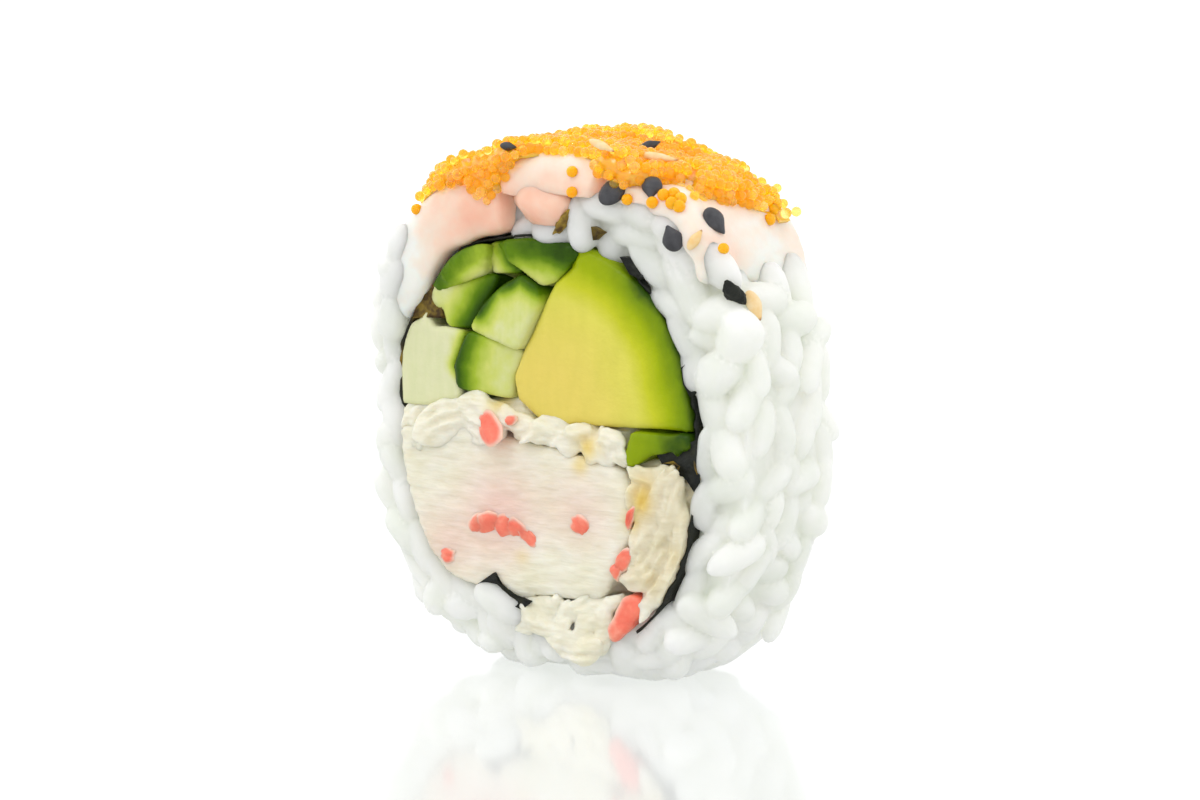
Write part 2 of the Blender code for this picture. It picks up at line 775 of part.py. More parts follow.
def wall_grains(draw):
    """Grains on the outer wall, in staggered columns round it, where no prawn lies."""
    first, last = WALL_GRAIN_ANGLES
    grains = []
    for column in range(WALL_COLUMNS):
        for row in range(WALL_ROWS):

            def propose(draw, freedom, column=column, row=row):
                shift = 0.5 * (row % 2) + draw.uniform(-0.25, 0.25)
                turn = first + (last - first) * (column + shift) / WALL_COLUMNS
                depth = THICKNESS - 3.0
                y = FRONT + 1.5 + depth * row / (WALL_ROWS - 1) + draw.uniform(-0.4, 0.4)
                x, z = rice_point(turn, draw.uniform(-0.15, 0.35))
                tangent = wall_direction(turn)
                heading = math.radians(draw.uniform(-75, 75) * freedom)
                along = tangent * math.cos(heading) + Vector((0, 1, 0)) * math.sin(heading)
                normal = Vector((tangent.z, 0.0, -tangent.x))
                return (x, y, z), along, normal, GRAIN_LENGTH * draw.uniform(0.85, 1.1)

            grains += fitted_grain(f"wall_{column}_{row}", draw, propose)
    return grains


def face_grains(draw, side):
    """Grains on a cut face of the rice, between the nori and the wall. side is -1 in front."""
    y = side * (CORE_BACK - 0.1)
    normal = Vector((0, side, 0))
    grains = []
    for ring, (share, count) in enumerate(FACE_RINGS):
        for i in range(count):

            def propose(draw, freedom, ring=ring, share=share, count=count, i=i):
                turn = 360.0 * (i + 0.5 * ring + draw.uniform(-0.3, 0.3)) / count
                inner = Vector(nori_point(turn, -NORI_THICKNESS / 2))
                outer = Vector(rice_point(turn))
                place = inner.lerp(outer, share + draw.uniform(-0.12, 0.12))
                tangent = wall_direction(turn)
                heading = math.radians(draw.uniform(-45, 45) * freedom)
                outwards = Vector((tangent.z, 0.0, -tangent.x))
                along = tangent * math.cos(heading) + outwards * math.sin(heading)
                length = GRAIN_LENGTH * (0.6 + draw.uniform(0.1, 0.45) * freedom)
                return (place.x, y, place.y), along, normal, length

            grains += fitted_grain(f"face_{side}_{ring}_{i}", draw, propose)
    return grains


# Seeds on the front ring of rice: x, z, turn, length, width
RICE_SEEDS = [(12.0, 37.0, 75.0, 2.6, 2.0), (13.9, 35.7, 70.0, 2.9, 1.2), (18.2, 31.4, -60.0, 3.0, 2.2)]
RICE_BEADS = [(16.2, 34.4)]
RICE_SEED_DEPTH = 2.4


def build_rice(material):
    draw = random.Random(3)
    outer = [rice_point(360.0 * i / CORE_POINTS) for i in range(CORE_POINTS)]
    hole_inset = -(NORI_THICKNESS / 2 + GAP)
    hole = [nori_point(360.0 * i / CORE_POINTS, hole_inset) for i in range(CORE_POINTS)]
    mesh = flat_curve_mesh("rice", [outer, hole], CORE_BACK - CORE_FRONT)
    for vertex in mesh.vertices:
        x, y, z = (c / MM for c in vertex.co)
        if not outside_nori(x, FRONT, z, GAP + 0.1):
            vertex.co = Vector(twisted(x, y, z)) * MM
    core = link_object("rice", mesh, material)
    pieces = wall_grains(draw) + face_grains(draw, -1) + face_grains(draw, 1)
    for i, (x, z, turn, length, width) in enumerate(RICE_SEEDS):
        size = (length, width, RICE_SEED_DEPTH)
        pieces.append(seed(f"rice_seed_{i}", (x, CORE_FRONT - 0.7, z), turn, size=size))
    for i, (x, z) in enumerate(RICE_BEADS):
        pieces.append(bead(f"rice_bead_{i}", (x, CORE_FRONT - 0.3, z), ROE_BEAD_RADIUS))
    fuse(core, pieces)
    keep_largest_shell(core)
    cut_at_table(core)
    keep_largest_shell(core)


def main():
    clear_scene()
    build_rice(make_material("rice", (0.88, 0.89, 0.84), 0.35))
    build_nori(make_material("nori", (0.02, 0.03, 0.02), 0.4))
    build_avocado(make_material("avocado", (0.62, 0.65, 0.12), 0.4))
    build_cucumber(make_material("cucumber", (0.5, 0.65, 0.25), 0.3))
    crab = make_material("crab", (0.86, 0.8, 0.68), 0.5)
    build_crab(crab, make_material("crab_red", (0.85, 0.2, 0.1), 0.45))
    build_prawn(make_material("prawn", (0.9, 0.65, 0.55), 0.35))
    build_roe(make_material("roe", (0.95, 0.42, 0.03), 0.15))


main()
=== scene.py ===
"""The looks of one slice of an inside-out California roll: rice, nori, filling, prawn and roe.

Sizes are millimetres in the CAD model's own frame (the roll's axis along Y, the cut face that is
seen first towards -Y, +Z up); MM turns them into metres where meshes are made.
"""

import random
from math import copysign, cos, pi, radians, sin, sqrt, tan

import bmesh
import bpy
import numpy as np
from mathutils import Matrix, Vector, noise
from mathutils.bvhtree import BVHTree
from mathutils.kdtree import KDTree


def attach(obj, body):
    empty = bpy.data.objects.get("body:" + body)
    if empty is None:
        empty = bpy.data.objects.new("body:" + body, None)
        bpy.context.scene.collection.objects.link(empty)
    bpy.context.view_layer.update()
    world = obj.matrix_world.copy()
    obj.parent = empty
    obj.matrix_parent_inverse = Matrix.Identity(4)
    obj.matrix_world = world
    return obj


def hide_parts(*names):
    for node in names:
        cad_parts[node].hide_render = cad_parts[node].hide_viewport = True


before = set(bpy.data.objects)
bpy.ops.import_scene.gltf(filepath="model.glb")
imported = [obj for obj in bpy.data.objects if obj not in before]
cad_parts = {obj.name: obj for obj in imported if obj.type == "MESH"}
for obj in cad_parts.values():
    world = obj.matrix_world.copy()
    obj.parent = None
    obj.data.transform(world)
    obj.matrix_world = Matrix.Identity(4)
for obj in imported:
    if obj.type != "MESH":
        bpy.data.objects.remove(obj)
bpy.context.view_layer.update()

MM = 0.001
GAP = 0.35  # clearance that the CAD model leaves between neighbouring pieces

# The slice, its rice and its nori, as in the CAD model. A bulge is its turn, width and height.
FRONT, BACK = -7.5, 7.5
CORE_FRONT = -6.6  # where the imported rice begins
RICE_CENTRE = (0.0, 20.8)
RICE_HALF_WIDTH = 19.2
RICE_UP = 21.0
RICE_DOWN = 21.6
RICE_EXPONENT = 2.3
RICE_BULGES = ((54.0, 15.0, 1.2),)
NORI_CENTRE = (-0.9, 20.5)
NORI_HALF_WIDTH = 15.5
NORI_HALF_HEIGHT = 17.7
NORI_EXPONENT = 2.2
NORI_SAG = 1.5  # how far its foot lies to the right
NORI_BULGES = ((247.0, 17.0, -3.2), (157.0, 13.0, 0.9), (122.0, 14.0, 0.8))
NORI_THICKNESS = 0.4
NORI_START = 75.0
NORI_TURN = 388.0  # degrees from the sheet's outer end to its inner end
NORI_STEP = NORI_THICKNESS + GAP
NORI_RAMP = 22.0  # degrees over which the sheet steps inside its own start
TWIST = 5.0  # degrees by which the filling turns from the front face to the back
PRESS_AT_FACES, PRESS_INSIDE = 0.2, 0.75  # how far the filling's sides move outwards to touch

# The camera, which also places the toppings that the photograph shows by their pixels
IMAGE_WIDTH, IMAGE_HEIGHT = 1200, 800
CAMERA_AZIMUTH, CAMERA_ELEVATION = 35.0, 7.0
CAMERA_DISTANCE = 290.0
CAMERA_TARGET = (0.0, 0.0, 23.5)
LENS, SENSOR = 100.0, 36.0

draw = random.Random(11)


# Outlines on the cut face, in (x, z)


def superellipse(centre, half_width, half_up, half_down, exponent, degrees):
    turn = np.radians(degrees)
    c, s = np.cos(turn), np.sin(turn)
    half_height = np.where(s > 0, half_up, half_down)
    x = np.copysign(np.abs(c) ** (2 / exponent), c) * half_width
    z = np.copysign(np.abs(s) ** (2 / exponent), s) * half_height
    return np.stack([centre[0] + x, centre[1] + z], -1)


def bells(value, rows):
    """The sum of smooth bumps. A row is a bump's middle, width and height."""
    return sum(height * np.exp(-(((value - middle) / width) ** 2)) for middle, width, height in rows)


def rice_point(degrees, offset=0.0):
    """A point on the bare rice core's outer wall, or offset outside it."""
    offset = offset + bells(degrees % 360.0, RICE_BULGES)
    half_width = RICE_HALF_WIDTH + offset
    up, down = RICE_UP + offset, RICE_DOWN + offset
    return superellipse(RICE_CENTRE, half_width, up, down, RICE_EXPONENT, degrees)


def nori_point(degrees, inset=0.0):
    """A point on the middle of the nori's outer turn, or inset inside it."""
    inset = inset - bells(degrees % 360.0, NORI_BULGES)
    height = NORI_HALF_HEIGHT - inset
    width = NORI_HALF_WIDTH - inset
    point = superellipse(NORI_CENTRE, width, height, height, NORI_EXPONENT, degrees)
    below = np.maximum(0.0, (NORI_CENTRE[1] - point[..., 1]) / NORI_HALF_HEIGHT)
    point[..., 0] += NORI_SAG * below
    return point


def unit(vector):
    return vector / np.linalg.norm(vector)


def ahead_on(outline, degrees):
    """The direction in which an outline runs on at an angle round the roll."""
    return unit(outline(degrees + 1.0) - outline(degrees - 1.0))


def in_space(x_z, y):
    """Points in space from their (x, z) places and their y."""
    return np.stack([x_z[..., 0], np.broadcast_to(y, x_z.shape[:-1]), x_z[..., 1]], -1)


def turned(points, direction=1.0):
    """Points on the filling, turned with it from the front face to the back, or turned back."""
    turn = direction * np.radians(TWIST) * (points[..., 1] - FRONT) / (BACK - FRONT)
    dx, dz = points[..., 0] - NORI_CENTRE[0], points[..., 2] - NORI_CENTRE[1]
    c, s = np.cos(turn), np.sin(turn)
    x = NORI_CENTRE[0] + dx * c - dz * s
    z = NORI_CENTRE[1] + dx * s + dz * c
    return np.stack([x, points[..., 1], z], -1)


def front_places(points):
    """The (x, z) places of a filling's points, turned back to the front face."""
    return turned(points, -1.0)[:, [0, 2]]


def smooth_step(value, low, high):
    share = np.clip((value - low) / (high - low), 0.0, 1.0)
    return share * share * (3 - 2 * share)


def spotted(places, spots):
    """How strongly spots colour places. A spot is its middle, its radius and its strength."""
    total = np.zeros(len(places))
    for *middle, radius, strength in spots:
        away = np.linalg.norm(places - np.array(middle), axis=1)
        total = total + strength * np.exp(-((away / radius) ** 2))
    return total


# Meshes


def noise_at(points, per_mm, shift=0.0):
    """Smooth noise, from about -1 to 1, at points given in millimetres."""
    start = Vector((shift, 1.7 * shift, -shift))
    return np.array([noise.noise(Vector(p) * per_mm + start) for p in points])


def new_mesh(name, points, faces):
    mesh = bpy.data.meshes.new(name)
    mesh.from_pydata(np.asarray(points).tolist(), [], faces)
    return mesh


def linked(name, data):
    """A new object in the scene."""
    thing = bpy.data.objects.new(name, data)
    bpy.context.scene.collection.objects.link(thing)
    return thing


def add_piece(name, points, faces, material, slot, nodes=(), **values):
    """A smooth-shaded piece from points in millimetres, which rides on the frame's one body."""
    mesh = new_mesh(name, np.asarray(points) * MM, faces)
    mesh.shade_smooth()
    mesh.materials.append(material)
    for attribute, numbers in values.items():
        layer = mesh.attributes.new(attribute, "FLOAT", "POINT")
        layer.data.foreach_set("value", np.asarray(numbers, np.float32))
    piece = linked(name, mesh)
    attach(piece, "root")
    if nodes:
        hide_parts(*nodes)
    return piece


def ball(segments, rings):
    """A unit ball whose poles lie on X, as points and faces."""
    points = [(-1.0, 0.0, 0.0)]
    for ring in range(1, rings):
        polar = pi * ring / rings
        for segment in range(segments):
            turn = 2 * pi * segment / segments
            radius = sin(polar)
            points.append((-cos(polar), radius * cos(turn), radius * sin(turn)))
    points.append((1.0, 0.0, 0.0))
    faces = []
    last = len(points) - 1
    for segment in range(segments):
        following = (segment + 1) % segments
        faces.append((0, 1 + following, 1 + segment))
        for ring in range(rings - 2):
            start, after = 1 + ring * segments, 1 + (ring + 1) * segments
            faces.append((start + segment, start + following, after + following, after + segment))
        base = last - segments
        faces.append((base + segment, base + following, last))
    return np.array(points), faces


def joined(shapes):
    """The points and faces of several shapes as those of one."""
    points, faces, start = [], [], 0
    for shape, shape_faces in shapes:
        points.append(shape)
        faces += [tuple(start + i for i in face) for face in shape_faces]
        start += len(shape)
    return np.concatenate(points), faces


def placed_copies(templates, placements):
    """Copies of templates, joined. A placement is (template number, 3x3 rotation, centre, size)."""
    shapes, shades = [], []
    for number, rotation, centre, size in placements:
        template, faces = templates[number]
        shapes.append(((template * size) @ np.asarray(rotation).T + centre, faces))
        shades.append(np.full(len(template), draw.random()))
    return *joined(shapes), np.concatenate(shades)


def scattered(name, template, placements, material, slot, **values):
    points, faces, shades = placed_copies([template], placements)
    return add_piece(name, points, faces, material, slot, shade=shades, **values)


def basis(along, normal):
    """A rotation matrix that lays X along one direction and Z along a surface's normal."""
    normal = unit(normal)
    along = unit(along - normal * (along @ normal))
    return np.stack([along, np.cross(normal, along), normal], -1)


def leaning(chance, side, most):
    """A direction that leans by chance from one cut face's own, which is side along Y."""
    return np.array([chance.uniform(-most, most), side, chance.uniform(-most, most)])


def closed_loft(rings):
    """Points and faces of a body through rings that have one count, capped at both ends."""
    count = len(rings[0])
    faces = []
    for here in range(0, (len(rings) - 1) * count, count):
        for i in range(count):
            j = (i + 1) % count
            faces.append((here + i, here + j, here + count + j, here + count + i))
    faces.append(tuple(reversed(range(count))))
    faces.append(tuple((len(rings) - 1) * count + i for i in range(count)))
    return np.concatenate(rings), faces


def facing_out(points, faces):
    """The faces, with their winding made to face outwards, and the points' normals."""
    mesh = new_mesh("facing_out", points, faces)
    shape = bmesh.new()
    shape.from_mesh(mesh)
    bmesh.ops.recalc_face_normals(shape, faces=shape.faces)
    faces = [tuple(v.index for v in face.verts) for face in shape.faces]
    shape.normal_update()
    normals = np.array([v.normal[:] for v in shape.verts])
    shape.free()
    bpy.data.meshes.remove(mesh)
    return faces, normals


def remeshed(mesh, voxel, rounds, kept=1.0):
    """Points, normals and faces of a mesh's skin, made anew with even faces and softened.

    kept is the share of the faces that stay.
    """
    holder = linked("remeshed", mesh)
    steps = {
        "REMESH": {"mode": "VOXEL", "voxel_size": voxel},
        "SMOOTH": {"factor": 0.5, "iterations": rounds},
        "DECIMATE": {"ratio": kept},
    }
    for kind, settings in steps.items():
        modifier = holder.modifiers.new(kind, kind)
        for setting, value in settings.items():
            setattr(modifier, setting, value)
    depsgraph = bpy.context.evaluated_depsgraph_get()
    fine = bpy.data.meshes.new_from_object(holder.evaluated_get(depsgraph))
    bpy.data.objects.remove(holder)
    bpy.data.meshes.remove(mesh)
    count = len(fine.vertices)
    points, normals = np.empty(count * 3), np.empty(count * 3)
    fine.vertices.foreach_get("co", points)
    fine.vertex_normals.foreach_get("vector", normals)
    faces = [tuple(face.vertices) for face in fine.polygons]
    bpy.data.meshes.remove(fine)
    return points.reshape(-1, 3), normals.reshape(-1, 3), faces


def softened_node(node, voxel, rounds):
    """A fine, softened copy of a CAD node's mesh, in millimetres."""
    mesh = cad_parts[node].data.copy()
    mesh.transform(Matrix.Scale(1 / MM, 4))
    shape = bmesh.new()
    shape.from_mesh(mesh)
    bmesh.ops.remove_doubles(shape, verts=shape.verts, dist=1e-3)
    shape.to_mesh(mesh)
    shape.free()
    return remeshed(mesh, voxel, rounds)


def fused(points, faces, voxel, rounds, kept=1.0):
    """Overlapping closed shapes as one skin."""
    return remeshed(new_mesh("fused", points, faces), voxel, rounds, kept)


def carried_over(points, values, onto):
    """Values at points, read at the nearest of them for the points of a new skin."""
    tree = KDTree(len(points))
    for number, point in enumerate(points):
        tree.insert(point, number)
    tree.balance()
    return np.array([values[tree.find(point)[1]] for point in onto])


def from_faces(points):
    """The points' depth behind the nearer cut face."""
    return np.minimum(points[:, 1] - FRONT, BACK - points[:, 1])


def pressed_together(points, normals):
    """Moves the sides outwards, more inside the roll, where the pieces press on each other."""
    grow = PRESS_AT_FACES + (PRESS_INSIDE - PRESS_AT_FACES) * smooth_step(from_faces(points), 0.8, 3.5)
    rim = nori_point(np.linspace(0.0, 360.0, 160), NORI_THICKNESS / 2)
    places = front_places(points)
    to_nori = distance_to_line(places, rim)
    outwards = places - np.array(NORI_CENTRE)
    outwards = outwards / np.linalg.norm(outwards, axis=1, keepdims=True)
    facing = np.clip(np.sum(normals[:, [0, 2]] * outwards, axis=1) * 1.6, 0.0, 1.0)
    reach = to_nori * facing * (1.0 - smooth_step(to_nori, 1.4, 2.4))
    return points + normals * (1.0, 0.25, 1.0) * np.maximum(grow, reach)[:, None]


def distance_to_line(places, line):
    """The distance from (x, z) places to a line through corners."""
    nearest = np.full(len(places), np.inf)
    line = np.asarray(line, float)
    for start, end in zip(line[:-1], line[1:]):
        along = end - start
        share = np.clip((places - start) @ along / (along @ along), 0.0, 1.0)
        foot = start + share[:, None] * along
        nearest = np.minimum(nearest, np.linalg.norm(places - foot, axis=1))
    return nearest


# Materials

WHITE = (1.0, 1.0, 1.0)


class Paint:
    """A procedural material whose nodes are added by short calls."""

    def __init__(self, name, roughness, **sockets):
        self.material = bpy.data.materials.new(name)
        self.material.use_nodes = True
        self.tree = self.material.node_tree
        self.give(Roughness=roughness, **sockets)
        scale = {0: self.node("TexCoord").outputs["Object"], 1: (1 / MM, 1 / MM, 1 / MM)}
        self.place = self.node("VectorMath", scale, operation="MULTIPLY").outputs[0]

    def fill(self, socket, value):
        """Links a socket to another's value, or sets it."""
        if isinstance(value, bpy.types.NodeSocket):
            self.tree.links.new(value, socket)
        else:
            socket.default_value = (*value, 1.0) if socket.type == "RGBA" else value

    def give(self, **sockets):
        """Fills the shader's own sockets."""
        for socket, value in sockets.items():
            self.fill(self.tree.nodes["Principled BSDF"].inputs[socket.replace("_", " ")], value)

    def node(self, kind, inputs=None, **settings):
        node = self.tree.nodes.new("ShaderNode" + kind)
        for setting, value in settings.items():
            setattr(node, setting, value)
        for socket, value in (inputs or {}).items():
            self.fill(node.inputs[socket], value)
        return node

    def noise(self, per_mm, detail=3.0, stretch=None):
        """A noise value; stretch squeezes it along X, Y and Z."""
        place = self.place
        if stretch:
            place = self.node("VectorMath", {0: place, 1: stretch}, operation="MULTIPLY").outputs[0]
        return self.node("TexNoise", {"Vector": place, "Scale": per_mm, "Detail": detail}).outputs["Fac"]

    def attribute(self, name):
        return self.node("Attribute", attribute_name=name).outputs["Fac"]

    def clouded(self, name, amount, per_mm, stretch=None):
        """An attribute that noise makes uneven."""
        def math(operation, first, second):
            return self.node("Math", {0: first, 1: second}, operation=operation).outputs[0]

        clouds = math("SUBTRACT", self.noise(per_mm, stretch=stretch), 0.5)
        return math("ADD", self.attribute(name), math("MULTIPLY", clouds, amount))

    def ramp(self, value, *stops):
        """Colours or greys at places from 0 to 1."""
        node = self.node("ValToRGB", {"Fac": value})
        elements = node.color_ramp.elements
        while len(elements) < len(stops):
            elements.new(0.5)
        for element, (place, colour) in zip(elements, stops):
            element.position = place
            element.color = (*colour, 1.0)
        return node.outputs["Color"]

    def patches(self, per_mm, first, second, low=0.3, high=0.7, stretch=None):
        """Noise that runs from one colour to another."""
        return self.ramp(self.noise(per_mm, stretch=stretch), (low, first), (high, second))

    def mix(self, share, first, second, blend_type="MIX"):
        inputs = {0: share, 6: first, 7: second}
        return self.node("Mix", inputs, data_type="RGBA", blend_type=blend_type).outputs[2]

    def times(self, first, second):
        return self.mix(1.0, first, second, "MULTIPLY")

    def uneven_roughness(self, per_mm, low, high):
        self.give(Roughness=self.patches(per_mm, (low, low, low), (high, high, high)))

    def bump(self, height, depth_mm, strength):
        inputs = {"Height": height, "Distance": depth_mm * MM, "Strength": strength}
        self.give(Normal=self.node("Bump", inputs).outputs["Normal"])

    def glowing(self, colour, strength):
        self.give(Emission_Color=colour, Emission_Strength=strength)

    def finished(self, colour, passing=0.0, reach_mm=1.0, tint=WHITE):
        """The material in its colour, with the share of light that passes into it, how far, and
        in what tint."""
        self.give(Base_Color=colour)
        if passing:
            self.give(Subsurface_Weight=passing, Subsurface_Radius=tint, Subsurface_Scale=reach_mm * MM)
        return self.material


def rice_material():
    paint = Paint("cooked_rice", 0.36, Specular_IOR_Level=0.35)
    # The stops above 0.77 give only the painted light near the table.
    stops = (0.0, (0.81, 0.82, 0.765)), (0.77, (0.89, 0.89, 0.84)), (1.0, (0.97, 0.97, 0.92))
    tone = paint.ramp(paint.attribute("shade"), *stops)
    cloud = paint.patches(0.3, (0.93, 0.95, 0.92), WHITE, 0.35, 0.65)
    paint.uneven_roughness(1.2, 0.3, 0.5)
    paint.bump(paint.noise(1.6), 0.06, 0.5)
    return paint.finished(paint.times(tone, cloud), 1.0, 4.5, (1.0, 0.98, 0.92))


def nori_material():
    paint = Paint("nori", 0.45, Specular_IOR_Level=0.25)
    stops = (0.3, (0.008, 0.010, 0.010)), (0.6, (0.016, 0.018, 0.012)), (0.8, (0.04, 0.04, 0.012))
    dark = paint.ramp(paint.noise(0.7), *stops)
    # Brown to gold: painted light where light shines through the sheet's edges and folds, and the brown
    # flake's own colour.
    gold = paint.patches(1.3, (0.09, 0.045, 0.008), (0.33, 0.22, 0.025), 0.35, 0.6)
    paint.uneven_roughness(1.1, 0.3, 0.65)
    paint.bump(paint.noise(2.2, detail=5.0), 0.25, 0.8)
    return paint.finished(paint.mix(paint.attribute("gold"), dark, gold))


def avocado_material():
    paint = Paint("avocado_flesh", 0.28, Specular_IOR_Level=0.12)
    stops = [
        (0.0, (0.03, 0.075, 0.004)), (0.035, (0.18, 0.28, 0.003)), (0.13, (0.37, 0.46, 0.003)),
        (0.25, (0.58, 0.60, 0.025)), (0.38, (0.73, 0.68, 0.11)), (0.64, (0.78, 0.66, 0.135)),
        (0.85, (0.79, 0.64, 0.14)),
    ]
    flesh = paint.ramp(paint.clouded("depth", 0.14, 0.22), *stops)
    streaks = paint.patches(0.8, (0.94, 0.95, 0.9), WHITE, stretch=(1.0, 1.0, 0.3))
    paint.bump(paint.noise(1.6, detail=5.0), 0.14, 0.6)
    return paint.finished(paint.times(flesh, streaks), 0.12, 0.8, (1.0, 0.9, 0.3))


def cucumber_material():
    paint = Paint("cucumber", 0.25, Specular_IOR_Level=0.1)
    stops = [
        (0.05, (0.74, 0.74, 0.47)), (0.24, (0.63, 0.67, 0.17)), (0.42, (0.38, 0.50, 0.04)),
        (0.62, (0.12, 0.23, 0.005)), (0.82, (0.04, 0.10, 0.003)), (1, (0.015, 0.04, 0.002)),
    ]
    flesh = paint.ramp(paint.clouded("peel", 0.2, 0.8), *stops)
    fibres = paint.patches(1.3, (0.93, 0.96, 0.88), WHITE, stretch=(1.0, 1.0, 0.25))
    paint.bump(paint.noise(1.8, detail=4.0), 0.10, 0.5)
    return paint.finished(paint.times(flesh, fibres), 0.12, 0.6, (0.8, 1.0, 0.4))


def crab_material():
    paint = Paint("crab_stick", 0.5, Specular_IOR_Level=0.35)
    cream = paint.patches(0.35, (0.83, 0.80, 0.63), (0.90, 0.87, 0.76))
    pink = paint.mix(paint.attribute("pink"), cream, (0.87, 0.58, 0.52))
    flesh = paint.mix(paint.attribute("yellow"), pink, (0.84, 0.62, 0.12))
    # Darker and warmer over the right part of the crab.
    darker_right = paint.mix(paint.attribute("darker_right"), WHITE, (0.91, 0.87, 0.79))
    fibres = paint.noise(1.4, detail=4.0, stretch=(0.35, 1.0, 1.6))
    grain = paint.ramp(fibres, (0.3, (0.93, 0.91, 0.87)), (0.65, WHITE))
    paint.bump(fibres, 0.25, 0.7)
    return paint.finished(paint.times(paint.times(flesh, darker_right), grain), 0.5, 1.0, (1.0, 0.85, 0.65))


def crab_red_material():
    paint = Paint("crab_red_skin", 0.35, Coat_Weight=0.2, Coat_Roughness=0.2)
    stops = (0.25, (0.90, 0.13, 0.075)), (0.55, (0.95, 0.20, 0.12)), (0.8, (0.97, 0.36, 0.25))
    red = paint.ramp(paint.noise(0.9), *stops)
    skin = paint.mix(paint.attribute("faded"), red, (0.87, 0.76, 0.62))
    paint.bump(paint.noise(1.6, stretch=(0.5, 1.0, 1.5)), 0.2, 0.6)
    return paint.finished(skin, 0.25, 0.7, (1.0, 0.35, 0.2))


def prawn_material():
    paint = Paint("cooked_prawn", 0.26, Specular_IOR_Level=0.45)
    stops = [
        (0.0, (0.88, 0.87, 0.81)), (0.14, (0.90, 0.80, 0.70)), (0.38, (0.92, 0.71, 0.58)),
        (0.65, (0.94, 0.59, 0.45)), (1, (0.95, 0.44, 0.30)),
    ]
    flesh = paint.ramp(paint.clouded("pink", 0.7, 0.45, (1.0, 0.5, 1.0)), *stops)
    paint.bump(paint.noise(0.7), 0.15, 0.5)
    return paint.finished(flesh, 0.5, 1.5, (1.0, 0.7, 0.5))


def roe_material():
    paint = Paint("roe", 0.05, IOR=1.35, Transmission_Weight=0.88)
    stops = (0.0, (1.0, 0.66, 0.06)), (0.5, (1.0, 0.78, 0.16)), (1.0, (1.0, 0.92, 0.45))
    # Painted glow: the eggs give off light of their own, standing in for light that passes through them.
    paint.glowing((1.0, 0.42, 0.01), 0.14)
    return paint.finished(paint.ramp(paint.attribute("shade"), *stops), 1.0, 1.2, (1.0, 0.6, 0.15))


def single_roe_material():
    paint = Paint("single_roe", 0.08, IOR=1.35, Transmission_Weight=0.15)
    stops = (0.0, (1.0, 0.43, 0.006)), (1.0, (1.0, 0.50, 0.012))
    # Painted glow: the single eggs give off light of their own, standing in for light that passes through
    # them.
    paint.glowing((1.0, 0.42, 0.005), 0.12)
    return paint.finished(paint.ramp(paint.attribute("shade"), *stops), 1.0, 0.8, (1.0, 0.6, 0.15))


def roe_bed_material():
    paint = Paint("roe_bed", 0.2, Coat_Weight=0.3, Coat_Roughness=0.1)
    colour = paint.patches(0.5, (1.0, 0.40, 0.012), (1.0, 0.52, 0.03))
    paint.bump(paint.noise(1.2), 0.2, 0.6)
    return paint.finished(colour, 0.6, 1.2, (1.0, 0.5, 0.1))


def black_seed_material():
    paint = Paint("black_sesame", 0.42, Specular_IOR_Level=0.4)
    paint.bump(paint.noise(3.0, detail=4.0), 0.1, 0.6)
    return paint.finished(paint.patches(1.2, (0.034, 0.034, 0.040), (0.070, 0.070, 0.078), 0.3, 0.8))


def pale_seed_material():
    paint = Paint("white_sesame", 0.4, Specular_IOR_Level=0.4)
    body = paint.patches(1.0, (0.86, 0.58, 0.24), (0.91, 0.74, 0.46))
    colour = paint.mix(paint.attribute("tip"), body, (0.30, 0.10, 0.03))
    paint.bump(paint.noise(2.6), 0.08, 0.5)
    return paint.finished(colour, 0.15, 0.4, (1.0, 0.7, 0.4))


def floor_material():
    paint = Paint("white_acrylic", 0.1, Specular_IOR_Level=1.0)
    paint.glowing((0.97, 1.0, 0.98), 0.505)
    return paint.finished(paint.patches(0.02, (0.23, 0.23, 0.23), (0.25, 0.25, 0.25)))


# The rice

GRAIN_HALF = np.array([2.95, 1.36, 1.2])
GRAIN_KINDS = 14
CORNER = 0.9  # radius of the rice ring's rounded edges
FOOT_CORNER = 2.4  # and where the ring stands on the table
FOOT = ((272.0, 38.0, 1.0),)  # where round the roll that is
HEEL_RISE = 3.8  # the front edge clears the table by about this much
SKIN_FRONT, SKIN_BACK = -6.45, 6.45  # where the outer grains' middles lie
WALL_PRAWN = (35.5, 146.0)  # angles between which prawn covers the rice's wall
FACE_PRAWN = (99.0, 146.0)  # and where it hangs over the front

# Where the wall bulges: turn round the roll, width, height
WALL_FULLER = ((28.0, 12.0, 1.3), (163.0, 10.0, 0.7), (205.0, 16.0, 0.5))
RIM_STEP = 10.5  # degrees between the grains along the nori
# How much further out some of them lie on the front face: first and last angle, distance
RIM_CLEAR = ((-9.0, 58.0, -0.25), (58.0, 88.0, 0.6), (285.0, 369.0, 0.12))
RIM_Y, FRONT_Y = 6.35, -6.5  # y of the grains along the nori and of those that show in front
GRAIN_TRIES = 9000  # places that a layer of grains is picked from
LOWEST_GRAIN, SOLE = 0.9, 0.02  # height of the lowest grains' middles, and of the lowest points
UNDER_PRAWN = 0.7  # how much deeper the grains lie under the prawn
RICE_VOXEL, RICE_KEPT = 0.19, 0.47  # size of the skin's faces, and the share of them that stays

